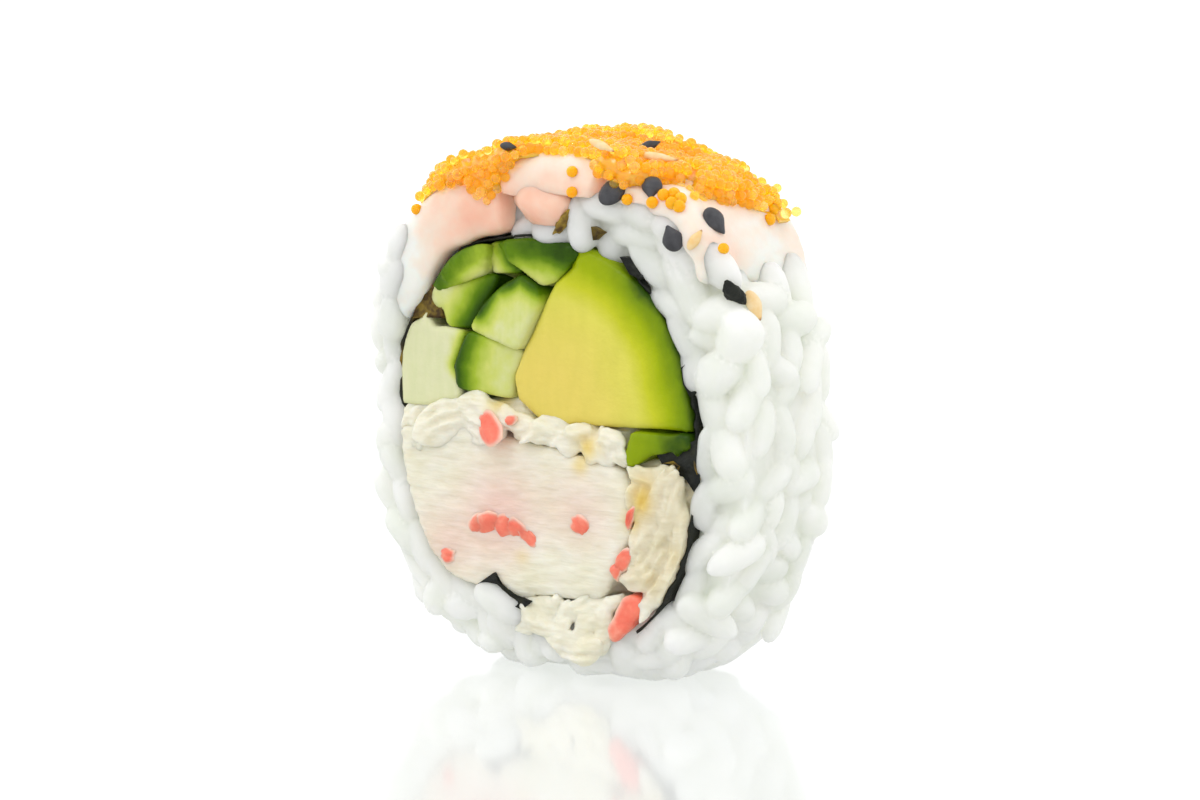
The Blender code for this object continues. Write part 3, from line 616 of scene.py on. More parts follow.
# Grains that show well in the front ring: x, z, heading, length, width, how far they stand forward
FRONT_GRAINS = [
    (3.2, 39.4, -84, 5, 2.9, 0.75), (0.4, 38.5, 2, 5, 2.4, 0.6),
    (8.6, 38.9, -9, 6.4, 3), (12.4, 40, -24, 4.8, 2.8), (9.9, 36.4, -48, 5.6, 2.6),
    (13.6, 34.6, -66, 7, 3.5), (16.3, 36.4, -40, 5.8, 3), (13.2, 30.6, -66, 5.6, 2.3),
    (16.4, 32.4, 14, 4.8, 3.1), (18.4, 30.6, 62, 5.2, 4), (16.7, 27.4, 50, 4.8, 3.7),
    (17.5, 21.2, -66, 5.4, 3), (16.4, 23.9, -88, 4.6, 2.6), (12.9, 37.4, -60, 7.2, 3.6),
    (0.9, 39.6, 8, 4.8, 2.4), (5.6, 40.9, -8, 5.4, 2.7, 1), (9.4, 40.5, -16, 5.2, 2.6, 1),
    (12.8, 39, -34, 5, 2.8, 0.95), (15.8, 25.2, -84, 5.4, 2.2, 0.35),
    (15.7, 20.6, -94, 5.2, 2.2, 0.35), (15.3, 16.4, -100, 4.4, 2.2, 0.3),
    (-4.9, 4.7, -24, 6.2, 3, 0.9), (-16.9, 30.6, 80, 4.8, 2.8, 1),
    (-16.4, 33.6, 60, 4.8, 2.7, 1.25), (-15.9, 36.6, 72, 4.4, 2.5, 1.2),
]
# Grains that stick to the left end of the prawn: turn round the roll, y, how far out, heading
END_GRAINS = [
    (141, -5.4, 2.6, 20), (145, -2.6, 1.9, 75), (140, -0.2, 2.3, 5), (146, 1, 1.8, 40),
    (142, 3.6, 2, -30), (148, 4.4, 1.6, 80), (140.5, 6.3, 1.8, 50), (150, -5.6, 2, -20),
    (151, -1, 1.6, 30), (153, 2.4, 1.3, -60), (150, 6.6, 1.2, 10), (155.5, -4, 1.7, 60),
    (145.5, -6.6, 2, 70), (157, -0.5, 1.2, -10), (160, -5.8, 1.5, 10), (164, -3.2, 1.2, 70),
]
LEFT_OUT = np.array([13.95, 6.1, 36.2])  # a grain here would come out through the prawn


def grain_templates():
    """Cooked short grains: plump, a little bent, one end blunter, with shallow grooves."""
    templates = []
    for kind in range(GRAIN_KINDS):
        points, faces = ball(14, 12)
        along = points[:, 0]
        fuller = np.sqrt((1 - np.abs(along) ** 2.6 + 1e-6) / (1 - along**2 + 1e-6))
        turn = np.arctan2(points[:, 2], points[:, 1])
        grooves = 1 + 0.05 * np.cos(3 * turn + draw.uniform(0, 6)) * (1 - along**2)
        lumps = 1 + 0.13 * noise_at(points, 1.1, 7.0 * kind)
        across = fuller * grooves * lumps * (1 + draw.uniform(-0.16, 0.16) * along)
        points[:, 1:] *= across[:, None]
        points[:, 2] += draw.uniform(-0.3, 0.3) * (along**2 - 0.4)
        points[:, 1] += draw.uniform(-0.2, 0.2) * (along**2 - 0.4)
        templates.append((points, faces))
    return templates


def rice_skin(turn, reach, sink):
    """Points, outward and onward directions on the rice ring's skin, and where its stages end.

    turn is the angle round the roll. reach runs along the skin in millimetres: from the nori over
    the front face, round the corner, over the wall and onto the back face. sink is depth below it.
    """
    inner = nori_point(turn, -NORI_THICKNESS / 2)
    outer = rice_point(turn)
    ahead = rice_point(turn + 1.0) - rice_point(turn - 1.0)
    ahead = ahead / np.linalg.norm(ahead, axis=-1, keepdims=True)
    outwards = np.stack([ahead[:, 1], -ahead[:, 0]], -1)
    corner = CORNER + (FOOT_CORNER - CORNER) * bells(turn % 360.0, FOOT)
    face = np.linalg.norm(outer - inner, axis=-1) - corner
    bend = corner * pi / 2
    wall = SKIN_BACK - SKIN_FRONT - 2 * corner
    stages = [face, face + bend, face + bend + wall, face + 2 * bend + wall]
    tilt = np.clip((reach - stages[0]) / bend, 0, 1) + np.clip((reach - stages[2]) / bend, 0, 1)
    tilt = tilt * pi / 2
    radius = corner - sink
    y = SKIN_FRONT + corner + np.clip(reach - stages[1], 0, wall) - radius * np.cos(tilt)
    away = np.where(reach < stages[0], reach, face + radius * np.sin(tilt))
    back_run = np.maximum(reach - stages[3], 0.0)
    away = np.where(back_run > 0, face - back_run, away)
    y = np.where(back_run > 0, SKIN_BACK - sink, y)
    level = inner + (outer - inner) * np.clip(away / (face + corner), 0, 1)[:, None]
    normals = in_space(outwards * np.sin(tilt)[:, None], -np.cos(tilt))
    return in_space(level, y), normals, in_space(ahead, 0.0), stages


def covered_by_prawn(turn, reach, stages):
    on_wall = (reach > stages[0] + 0.8) & (reach < stages[3] + 0.2)
    wall = on_wall & (turn > WALL_PRAWN[0]) & (turn < WALL_PRAWN[1])
    face = ~on_wall & (turn > FACE_PRAWN[0]) & (turn < FACE_PRAWN[1])
    return wall | face


def spread(points, spacing, taken):
    """Picks points that lie at least spacing from each other and from those taken."""
    kept = []
    cloud = np.reshape(np.asarray(taken, float), (-1, 3))
    for number, point in enumerate(points):
        if len(cloud) and np.min(np.sum((cloud - point) ** 2, axis=1)) < spacing**2:
            continue
        kept.append(number)
        cloud = np.vstack([cloud, point])
    return kept, cloud


def grain_layer(spacing, sink, uneven, tilt, taken, skip_prawn):
    """Placements of a layer of grains over the whole skin, at uneven depths."""
    rng = np.random.default_rng(draw.randrange(10**6))
    turn = rng.uniform(0, 360, GRAIN_TRIES)
    stages = rice_skin(turn, np.zeros(GRAIN_TRIES), 0.0)[3]
    reach = 0.7 + rng.uniform(0, 1, GRAIN_TRIES) * (stages[3] + stages[0] - 0.9)
    points, normals, around, stages = rice_skin(turn, reach, sink)
    covered = covered_by_prawn(turn, reach, stages)
    usable = (points[:, 2] > -0.4) & ~(skip_prawn & covered)
    on_wall = (reach > stages[1]) & (reach < stages[2])
    raised = bells(turn, WALL_FULLER) * on_wall - UNDER_PRAWN * covered
    points = points + normals * raised[:, None]
    kept, cloud = spread(points[usable], spacing, taken)
    placements = []
    for number in np.flatnonzero(usable)[kept]:
        normal, ahead = normals[number], around[number]
        heading = radians(draw.uniform(0, 180))
        along = ahead * cos(heading) + np.cross(normal, ahead) * sin(heading)
        rotation = basis(along, normal + along * tan(radians(draw.uniform(-tilt, tilt))))
        centre = points[number] + normal * draw.uniform(-uneven, uneven)
        centre[2] = max(centre[2], LOWEST_GRAIN)
        size = [draw.uniform(0.82, 1.12), draw.uniform(0.9, 1.1), draw.uniform(0.9, 1.1)]
        placements.append((draw.randrange(GRAIN_KINDS), rotation, centre, GRAIN_HALF * size))
    return placements, cloud


def rim_grains(taken):
    """Grains that lie along the nori on both cut faces."""
    placements = []
    for side in (-1.0, 1.0):
        for turn in np.arange(0.0, 360.0, RIM_STEP):
            degrees = turn + draw.uniform(-2.0, 2.0)
            if side < 0 and FACE_PRAWN[0] < degrees < FACE_PRAWN[1]:
                continue
            ahead = ahead_on(nori_point, degrees)
            clear = sum(c for first, last, c in RIM_CLEAR if side < 0 and first < degrees < last)
            away = np.array([ahead[1], -ahead[0]]) * (draw.uniform(0.75, 1.15) + clear)
            centre = turned(in_space(nori_point(degrees, -NORI_THICKNESS / 2) + away, side * RIM_Y))
            if min(np.linalg.norm(centre - place) for place in taken) < 2.4:
                continue
            angle = radians(draw.uniform(-28, 28))
            c, s = cos(angle), sin(angle)
            along = np.array([ahead[0] * c - ahead[1] * s, 0.0, ahead[0] * s + ahead[1] * c])
            rotation = basis(along, leaning(draw, side, 0.2))
            size = [draw.uniform(0.85, 1.1), draw.uniform(0.8, 0.95), 0.95]
            placements.append((draw.randrange(GRAIN_KINDS), rotation, centre, GRAIN_HALF * size))
            taken = [*taken, centre]
    return placements, taken


def heeled(points):
    """Points of the rice, with the front edge raised off the table and the sole pressed flat."""
    x, y, z = points[..., 0], points[..., 1], points[..., 2]
    raised = HEEL_RISE * (1.0 - smooth_step(y, -8.5, -2.5))
    raised = raised * (1.0 + 0.35 * smooth_step(-x, 2.0, 10.0))
    lifted = z + raised * (1.0 - smooth_step(z, 0.0, 8.0))
    return np.stack([x, y, np.maximum(lifted, SOLE)], -1)


def shown_grains():
    """Placements of the grains that the photograph shows one by one."""
    shown = []
    for x, z, heading, length, width, *forwards in FRONT_GRAINS:
        centre = np.array([x, FRONT_Y - (forwards[0] if forwards else 0.2), z])
        angle = radians(heading)
        along = np.array([cos(angle), 0.0, sin(angle)])
        rotation = basis(along, leaning(draw, -1.0, 0.2))
        size = np.array([length / 2, width / 2, width * 0.43])
        shown.append((draw.randrange(GRAIN_KINDS), rotation, centre, size))
    for degrees, y, away, heading in END_GRAINS:
        ahead = ahead_on(rice_point, degrees)
        angle = radians(heading)
        along = in_space(ahead * cos(angle), sin(angle))
        rotation = basis(along, np.array([ahead[1], draw.uniform(-0.2, 0.2), -ahead[0]]))
        kind, centre = draw.randrange(GRAIN_KINDS), in_space(rice_point(degrees, away - 0.35), y)
        shown.append((kind, rotation, centre, GRAIN_HALF * draw.uniform(0.9, 1.05)))
    return shown


def build_rice():
    shown = shown_grains()
    rim, taken = rim_grains([place[2] for place in shown])
    upper, taken = grain_layer(2.5, 0.3, 0.2, 12.0, taken, True)
    under, taken = grain_layer(2.2, 1.1, 0.1, 10.0, taken, False)
    grains = [
        (kind, rotation, heeled(centre), size)
        for kind, rotation, centre, size in shown + rim + upper + under
        if np.linalg.norm(centre - LEFT_OUT) > 1.0
    ]
    points, faces, shades = placed_copies(grain_templates(), grains)
    core, core_faces = rice_core()
    whole, faces = joined([(points, faces), (heeled(core), core_faces)])
    shades = np.concatenate([shades, np.full(len(core), 0.5)])
    skin, _, faces = fused(whole, faces, RICE_VOXEL, 1, RICE_KEPT)
    shade = 0.77 * carried_over(whole, shades, skin)
    # Painted light: the rice is made lighter towards the table, below about 10 mm, standing in for light
    # that the table throws up onto it.
    shade = shade + (1.0 - shade) * 0.85 * (1.0 - smooth_step(skin[:, 2], 3.0, 10.0))
    skin[:, 2] = np.maximum(skin[:, 2], SOLE)
    return add_piece("rice_grains", skin, faces, rice_material(), "rice", ["rice"], shade=shade)


def rice_core():
    """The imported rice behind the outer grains, as a closed ring."""
    columns = 120
    turn = np.linspace(0.0, 360.0, columns, endpoint=False)
    inner, outer = nori_point(turn, -NORI_THICKNESS / 2 - 0.1), rice_point(turn, 0.05)
    front, back = -6.3, 6.3
    rings = [(inner, front), (outer, front), (outer, 0.0), (outer, back), (inner, back), (inner, 0.0)]
    faces = []
    for ring in range(len(rings)):
        after = (ring + 1) % len(rings)
        for column in range(columns):
            beside = (column + 1) % columns
            corners = [(ring, column), (after, column), (after, beside), (ring, beside)]
            faces.append(tuple(r * columns + c for r, c in corners))
    return np.concatenate([in_space(ring, y) for ring, y in rings]), faces


# The nori

# Where the sheet's front edge lies back, or forward where the depth is negative: turn, width, depth
NORI_RECESSES = ((203.0, 26.0, 1.5), (283.0, 12.0, 1.3), (322.0, 27.0, -0.65))
# Where the sheet's front edge flares out between the grains: turn round the roll, width, reach
NORI_FLARES = ((60.0, 3.4, 1.5), (20.0, 2.0, 0.9), (-5.0, 1.8, 0.7), (-11.0, 1.5, 0.5))
# Where light shines through its edge: turn round the roll, width, how strongly
NORI_PAINTED_SHINE = ((141.0, 7.0, 1.0), (163.0, 3.0, 1.0), (-4.0, 2.5, 1.0))


def build_nori():
    columns, rows = 420, 22
    turn = np.repeat(np.linspace(0.0, NORI_TURN, columns), rows)
    share = np.tile(np.linspace(0.0, 1.0, rows), columns)
    angle = NORI_START + turn
    around = (angle + 120) % 360 - 120
    ramp = smooth_step(turn, 360.0 - NORI_RAMP, 360.0)
    seeds = np.stack([turn * 0.25, np.zeros_like(turn), ramp * 9.0], -1)
    ragged = 0.35 * noise_at(seeds, 0.35, 3.0) + 0.45 * noise_at(seeds, 1.3, 9.0)
    hidden = bells(angle % 360, NORI_RECESSES)
    front = FRONT + 0.45 + ragged + hidden + 1.6 * smooth_step(turn, 338.0, 345.0)
    back = BACK - 0.2 + 0.5 * noise_at(seeds, 0.7, 5.0)
    y = front + (back - front) * share
    flare = bells(around, NORI_FLARES) * (1 - smooth_step(share, 0.0, 0.16)) * (ramp < 0.5)
    # Painted light: the sheet's front edge turns gold where light would shine through it.
    gold = bells(around, NORI_PAINTED_SHINE) * (1 - smooth_step(share, 0.04, 0.2)) * (ramp < 0.5)
    waves = 0.10 * noise_at(np.stack([turn * 0.3, y, ramp * 5.0], -1), 0.45, 2.0)
    points = turned(in_space(nori_point(angle, NORI_STEP * ramp - flare + waves), y))
    corners = [column * rows + row for column in range(columns - 1) for row in range(rows - 1)]
    faces = [(corner, corner + rows, corner + rows + 1, corner + 1) for corner in corners]
    nori = add_piece("nori_sheet", points, faces, nori_material(), "nori", ["nori"], gold=gold)
    solidify = nori.modifiers.new("sheet_thickness", "SOLIDIFY")
    solidify.thickness = 0.22 * MM
    solidify.offset = 0.0


# Folds of the sheet that show in gaps of the cut face. They are partly real nori and partly painted
# shade: dark pieces put where those gaps lie in shade. Columns: corners in (x, z), how much light shines
# through, and how far they stand forward
NORI_FOLDS = [
    ([(-7.3, 7.7), (-5.5, 8.9), (-4.8, 7.9), (-3.5, 7.1), (-1.8, 6.7), (-2.4, 5.9), (-3.8, 6.3),
      (-5.1, 7)], 0, 0.7),
    ([(11, 20.4), (12.9, 21.1), (15, 22), (15.3, 19), (14.7, 17.6), (13.9, 18.6), (12, 19)], 0),
    ([(11.4, 19.7), (12.5, 20), (13.3, 19.6), (12.9, 19.1), (11.9, 19.1)], 1),
    ([(7.2, 36.8), (8.6, 36.6), (9.9, 35.8), (9.3, 35), (8.2, 35.4)], 0),
    ([(13.4, 27.9), (14.3, 28.5), (14.9, 27.4), (15.1, 26), (14.3, 25.5), (13.6, 26.5)], 0),
    ([(-14.9, 30.4), (-14.1, 32.1), (-12.3, 33.4), (-11.6, 32.5), (-11.6, 30.6), (-13.1, 30.6)], 0.7),
    ([(4.7, 39.25), (5.9, 38.8), (5.3, 38.4), (4.9, 38.1)], 0.6, 0.6),
]
FOLD_FRONT, FOLD_BACK = -7.45, -6.2


def build_nori_folds():
    shapes, gold = [], []
    for corners, shining, *forwards in NORI_FOLDS:
        front = FOLD_FRONT - sum(forwards)
        outline = np.array(corners)
        middle = outline.mean(0)
        shares = ((1.0, FOLD_BACK), (1.0, front), (0.55, front + 0.3), (0.2, front + 0.1))
        rings = [in_space(middle + (outline - middle) * share, y) for share, y in shares]
        shapes.append(closed_loft(rings))
        # Painted light: a fold turns gold by how much light would shine through it.
        gold += [shining] * (len(shares) * len(corners))
    add_piece("nori_folds", *joined(shapes), nori_material(), "nori", gold=gold)


# The filling

# The pieces of cucumber: a line along the dark peel on the front face, how far that fades, how
# green the flesh is, and the front cut's lean: forwards at its middle, and per mm along X and Z
CUCUMBERS = [
    ([(-11.8, 34), (-9.8, 35.9), (-7, 37.8), (-5.2, 38.2)], 1.7, 0, (0.5, -0.05, 0.10)),
    ([(-5.6, 38), (-4.1, 36.4), (-2.4, 35.2)], 1.6, 0, (-0.5, 0.12, -0.10)),
    ([(-4.4, 37.9), (-0.5, 37.8), (2.8, 36.8), (3.2, 35.8)], 2.5, 0, (0.2, 0.02, 0.12)),
    ([(-5.2, 35.2), (-5.5, 33.8), (-6.8, 31.9), (-8.2, 29.8)], 2.6, 0, (-0.3, -0.14, 0.06)),
    ([(-7.3, 31.6), (-5.8, 33.8), (-4.2, 34.2), (-2.8, 35), (-0.6, 33.9)], 1.1, 0.15, (0.4, 0.10, -0.08)),
    ([(-9.2, 29.8), (-10.4, 26.8), (-10.2, 24.2)], 2.3, 0.15, (0.1, -0.10, 0.04)),
    ([(-8.2, 29.9), (-9.6, 26.6)], 0.9, 0, (-0.1, 0.05, 0.02)),
]
AVOCADO_DEEP = 13.0  # distance from the nori at which the avocado is yellowest

# Spots on the front face where the crab turns pink: x, z, radius, strength
CRAB_PINK = [
    (-5, 14.2, 4, 0.55), (3.2, 14.6, 3.4, 0.5), (-4.5, 12.9, 4.2, 0.35),
    (-11, 11, 3, 0.5), (0, 9.3, 5, -0.2), (-5.2, 21, 1.6, 0.5),
]

# Smears of avocado on the crab
CRAB_YELLOW = [
    (4.3, 20.6, 1.1, 0.8), (3.4, 18.9, 0.8, 0.6), (9.9, 16.4, 1.3, 0.9), (8.7, 14.6, 0.9, 0.6),
    (-5.4, 23.6, 0.8, 0.6), (10.2, 18, 1, 0.35), (13.4, 12, 1.2, 0.2), (11, 9.6, 1, 0.2),
    (-2.6, 10.5, 0.7, 0.3),
]

# Red bits on the crab's cut face: x, z, heading, length, width, how far some stand out
CRAB_BITS = [
    (-7.3, 12.9, 75, 2.2, 1.9), (-6.1, 13, 12, 3.2, 2.4), (-4.6, 13.1, -5, 3, 2.3),
    (-3.2, 12.8, -30, 2.8, 1.9), (-2, 12.3, -28, 2.2, 1.4), (3.4, 13.8, -50, 2.2, 1.9),
    (-10.8, 9.9, -8, 1.9, 1.4), (7.9, 11.1, 55, 2.8, 1.5), (7.2, 10.3, 80, 1.6, 1.2),
    (-5.3, 21.5, -46, 3.7, 2.6, 1.1), (-3.2, 22.4, 20, 1.3, 0.9, 1),
    (8.6, 15, 65, 2.4, 0.8),
]
# The red strip: its left edge, which fades, and how it lies against the CAD model's
CRAB_RED_LEFT = [(6.5, 4.6), (6.4, 6.2), (8.0, 8.8)]
CRAB_RED_TURN = 7.0
CRAB_RED_MOVE = (0.1, -0.55)
CRAB_RED_MIDDLE = (8.05, 6.85)


def pressed_filling(node, voxel, rounds, relief, per_mm, shift):
    """A filling's points, pressed against its neighbours, its faces and its front places."""
    points, normals, faces = softened_node(node, voxel, rounds)
    places = front_places(points)
    points = pressed_together(points, normals)
    return points + normals * (relief * noise_at(points, per_mm, shift))[:, None], faces, places


def build_cucumbers():
    material = cucumber_material()
    for number, (line, fade, green, (forwards, along, up)) in enumerate(CUCUMBERS, 1):
        name = f"cucumber_{number}"
        points, faces, places = pressed_filling(name, 0.22, 1, 0.05, 0.8, 4.0)
        peel = green + (1.0 - green) * np.exp(-((distance_to_line(places, line) / fade) ** 1.5))
        from_middle = places - (places.max(0) + places.min(0)) / 2
        cut = forwards + along * from_middle[:, 0] + up * from_middle[:, 1]
        points[:, 1] -= cut * (1.0 - smooth_step(points[:, 1], FRONT + 0.5, FRONT + 4.0))
        add_piece(name + "_flesh", points, faces, material, "cucumber", [name], peel=peel)


def build_avocado():
    material = avocado_material()
    rim = nori_point(np.linspace(96.0, 2.0, 24), 0.45)
    for name, share in (("avocado", 1.0), ("avocado_strip", 0.2)):
        points, faces, places = pressed_filling(name, 0.26, 2, 0.08, 0.5, 6.0)
        depth = np.clip(distance_to_line(places, rim) * share / AVOCADO_DEEP, 0.0, 1.0)
        add_piece(name + "_flesh", points, faces, material, "avocado", [name], depth=depth)


# Torn scraps over each part of the crab: its node, then (x, z, heading, length, width) and, for
# some, how far they stand out
CRAB_SHREDS = {
    "crab_stick": [],
    "crab_shreds_upper": [
        (-10.6, 21.6, 20, 6.4, 3.2, -0.3), (-7.4, 21.7, -6, 6, 3.4, -0.3),
        (-13.6, 20.6, 62, 3.6, 1.8, -0.2), (-2.4, 21.5, 12, 3.4, 2.1), (-0.4, 21.2, -8, 3.2, 1.9),
        (1.6, 21.1, 4, 3, 1.6), (4.3, 21, -62, 3.4, 1.7),
        (5.7, 20.4, -62, 3.2, 1.6), (6.7, 21.3, -12, 2.6, 1.4),
        (3, 21.8, 15, 2.6, 1.2), (4.8, 19.6, 30, 2.2, 1.2), (-8, 23.1, 4, 3.8, 1.9),
        (-6, 22.9, -20, 3.2, 1.8), (-3.6, 22.4, -30, 3, 1.6), (-10.2, 22.6, 8, 4, 1.8),
        (0.6, 22.2, -15, 2.8, 1.2), (7.4, 20, -40, 2.4, 1.2), (2.2, 20.4, 10, 2.4, 1.1),
    ],
    "crab_shreds_right": [
        (10.9, 15.4, 68, 9, 1.7, 0.3), (12.7, 16.6, 80, 5.4, 1.6), (13.4, 14.4, 88, 5, 1.6),
        (9.7, 14, 70, 5, 1.7, -0.3), (12.3, 12.9, 70, 5, 1.8, -0.4), (13, 11, 72, 4.6, 1.6, -0.2),
        (10.7, 11.4, 60, 4.4, 1.9, -0.3), (12, 9.6, 58, 4, 1.7, -0.2), (9.4, 11.6, 78, 3.8, 1.5, 0.1),
        (10.8, 8.6, 40, 3.6, 1.7), (9.4, 9.9, 30, 3.2, 1.6), (10.2, 18.4, -12, 3.4, 1.5),
        (12, 18.6, -30, 3, 1.3), (9.2, 16.8, 74, 3.8, 1.5), (10.5, 7.9, 50, 3.2, 1.3),
        (9.7, 15.8, 60, 3.2, 1.5), (11.6, 13.6, 62, 4, 0.8), (12.6, 10.4, 80, 3.6, 0.7),
        (10.2, 12.4, 66, 3.6, 0.7),
    ],
    "crab_shreds_lower": [
        (-1.8, 5.7, -30, 2.8, 1.7), (0.2, 6.4, 55, 2.6, 1.2), (1.4, 5.5, 60, 3, 1.2),
        (2.6, 6.3, 50, 3.4, 1.1), (4.6, 6.7, 30, 3.4, 1.4), (-0.4, 4.4, -20, 3, 1.4),
        (3.9, 5, 42, 3.4, 1.4), (-2.6, 4.3, 10, 2, 1.1), (3.3, 3.1, 12, 5.2, 1.9),
        (5.6, 4.2, 50, 2.8, 1.4), (2.1, 3.9, -12, 2.8, 1.3), (5.6, 6, 62, 2.8, 1.3),
        (0.9, 3.6, 15, 2.4, 1.1), (1.2, 4.7, 30, 2.2, 0.9), (4.6, 3.4, 25, 3, 1.2),
        (6.5, 7.4, 20, 2.6, 1.3), (3.1, 5.6, 80, 2, 0.8), (-0.9, 6.6, 5, 2.4, 1),
    ],
}
SCRAP_RINGS = (26, 18)  # segments and rings of the ball that a scrap starts from
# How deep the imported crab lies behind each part's loose scraps
CRAB_SUNK = {"crab_shreds_upper": 0.9, "crab_shreds_right": 0.9, "crab_shreds_lower": 1.6}
# How far in front of the roll's middle the scraps lie, and the furthest that they may stand out
CRAB_OUT, CRAB_BITS_OUT, CRAB_MOST = 7.45, 7.7, 8.55
CRAB_SOFT = 0.4  # what lies further out is drawn in to within this much of that
# Pieces of crab deep in the gaps of the filling: x, z, heading, length, width, y
CRAB_DEEP = [
    (-13.2, 22.4, 10, 4.4, 2.2, -6.4), (-10.9, 22.2, 0, 3.4, 2, -6.6),
    (-15.2, 21.8, 70, 3.2, 2, -6.7),
]


def scrap(scraps, place, heading, length, width, thickness, ragged=0.42):
    """A torn scrap of crab: a flat, ragged, curled flake with ridges along its fibres."""
    angle = radians(heading)
    along = np.array([cos(angle), scraps.uniform(-0.15, 0.15), sin(angle)])
    facing = leaning(scraps, copysign(1.0, place[1]), 0.3)
    points, faces = ball(*SCRAP_RINGS)
    shift = scraps.uniform(0, 90)
    points = points * (1 + ragged * noise_at(points * (1.0, 1.3, 0.3), 1.5, shift))[:, None]
    points[:, 2] *= 1 + 0.5 * noise_at(points * (0.5, 2.4, 1.0), 1.7, shift + 7.0)
    points[:, 2] += scraps.uniform(-0.6, 0.6) * (points[:, 0] ** 2 - 0.4)
    points[:, 1] += scraps.uniform(-0.5, 0.5) * (points[:, 0] ** 2 - 0.4)
    points = points * (length / 2, width / 2, thickness / 2)
    return points @ basis(along, facing).T + place, faces


def crab_values(points):
    places = front_places(points)
    return {
        "pink": np.clip(spotted(places, CRAB_PINK), 0.0, 1.0),
        "yellow": np.clip(spotted(places, CRAB_YELLOW), 0.0, 1.0),
        # Darker over the crab's right part, above its lowest shreds.
        "darker_right": smooth_step(places[:, 0], 7.6, 9.4) * smooth_step(places[:, 1], 6.0, 9.5),
    }


def within_nori(points):
    """The points, drawn in where they would cover the sheet's edge on the right."""
    centre = np.array(NORI_CENTRE)
    line = nori_point(np.linspace(-90.0, 90.0, 181), 0.15) - centre
    places = front_places(points) - centre
    turn = np.arctan2(places[:, 1], places[:, 0])
    reach = np.interp(turn, np.arctan2(line[:, 1], line[:, 0]), np.hypot(*line.T))
    drawn = centre + places * np.minimum(1.0, reach / np.hypot(*places.T))[:, None]
    return turned(in_space(drawn, points[:, 1]))


def with_scraps(name, points, faces, scraps):
    """A part of the shredded crab: torn scraps that are fused over its packed middle."""
    sunk = CRAB_SUNK[name] * (1.0 - smooth_step(from_faces(points), 0.0, 2.5))
    points[:, 1] -= np.sign(points[:, 1]) * sunk
    shapes = [(points, faces)]
    for x, z, heading, length, width, *ahead in CRAB_SHREDS[name]:
        ragged = 0.42 - 0.2 * float(smooth_step(-x, 3.0, 6.0))
        size = (length * 1.1, width * 1.3, width * 0.9)
        for side in (-1.0, 1.0):
            out = CRAB_OUT + sum(ahead) + scraps.uniform(-0.3, 0.3)
            place = turned(np.array([x, side * out, z]))
            shapes.append(scrap(scraps, place, heading, *size, ragged))
    if name == "crab_shreds_upper":
        for x, z, heading, length, width, y in CRAB_DEEP:
            shapes.append(scrap(scraps, turned(np.array([x, y, z])), heading, length, width, 1.6))
    points, normals, faces = fused(*joined(shapes), 0.175, 1)
    points = points + normals * (0.04 * noise_at(points, 1.8, 5.0))[:, None]
    if name == "crab_shreds_right":
        points = within_nori(points)
    past = np.maximum(np.abs(points[:, 1]) - CRAB_MOST, 0.0)
    points[:, 1] -= np.sign(points[:, 1]) * (past - CRAB_SOFT * np.tanh(past / CRAB_SOFT))
    return points, faces


def build_crab():
    material = crab_material()
    scraps = random.Random(5)
    for name, spots in CRAB_SHREDS.items():
        points, normals, faces = softened_node(name, 0.3, 3)
        points = pressed_together(points, normals)
        stretched = points * np.array([0.55, 1.0, 1.5])
        relief = 0.16 * noise_at(stretched, 0.8, 3.0) + 0.12 * noise_at(stretched, 1.9, 8.0)
        points = points + normals * (relief * (1.8 if spots else 1.0))[:, None]
        if spots:
            points, faces = with_scraps(name, points, faces, scraps)
        values = crab_values(points)
        add_piece(name + "_flesh", points, faces, material, "crab", [name], **values)


def build_crab_red():
    material = crab_red_material()
    scraps = random.Random(8)
    points, normals, faces = softened_node("crab_red_strip", 0.16, 2)
    from_left = distance_to_line(front_places(points), CRAB_RED_LEFT)
    points = points + normals * (0.05 + 0.10 * noise_at(points, 1.1, 2.0))[:, None]
    centre = turned(in_space(np.tile(CRAB_RED_MIDDLE, (len(points), 1)), points[:, 1]))
    across, up = 1.25 * (points[:, 0] - centre[:, 0]), points[:, 2] - centre[:, 2]
    turn = radians(CRAB_RED_TURN)
    c, s = cos(turn), sin(turn)
    points[:, 0] = centre[:, 0] + CRAB_RED_MOVE[0] + across * c - up * s
    points[:, 2] = centre[:, 2] + CRAB_RED_MOVE[1] + (across * s + up * c) * 1.1
    points[:, 1] *= 1.03
    faded = 0.85 * (1.0 - smooth_step(from_left, 0.0, 0.8))
    add_piece("crab_red_skin", points, faces, material, "crab_red", ["crab_red_strip"], faded=faded)
    shapes = []
    for x, z, heading, length, width, *ahead in CRAB_BITS:
        ragged = 0.12 if ahead else 0.25
        for side in (-1.0, 1.0):
            out = CRAB_BITS_OUT + sum(ahead) * (1.0 if side < 0 else 0.5)
            place = turned(np.array([x, side * out, z]))
            shapes.append(scrap(scraps, place, heading, length, width, 0.7, ragged))
    rim = np.hypot(*ball(*SCRAP_RINGS)[0][:, :2].T)
    faded = np.tile(0.7 * smooth_step(rim, 0.7, 1.0), len(shapes))
    add_piece("crab_red_bits", *joined(shapes), material, "crab_red", faded=faded)


# The prawn

# First and last angle, thickness, share of it left at each end, how far it hangs over the front
PRAWN_SLICES = {
    "prawn_left": (149.0, 101.2, 2.8, 0.2, 0.9, 1.0),
    "prawn_middle": (101.8, 77.2, 3.3, 0.7, 0.75, 0.05),
    "prawn_right": (76.8, 38.5, 2.1, 1.0, 0.15, 0.02),
}
PRAWN_TAPER = 0.4  # share of a slice over which each end thins out
PRAWN_FRONT, PRAWN_BACK = -8.4, 8.0
PRAWN_END = 1.1  # radius of a slice's rounded ends
# How pink each slice is all over
PRAWN_BASE = {"prawn_left": 0.08, "prawn_middle": 0.24, "prawn_right": 0.08}
PRAWN_OVERLAP = 1.4  # degrees by which each slice's ends run on into their neighbours
PRAWN_STEPS = 46
DEGREES_PER_MM = 360.0 / 128.0  # the rice is about 128 mm round
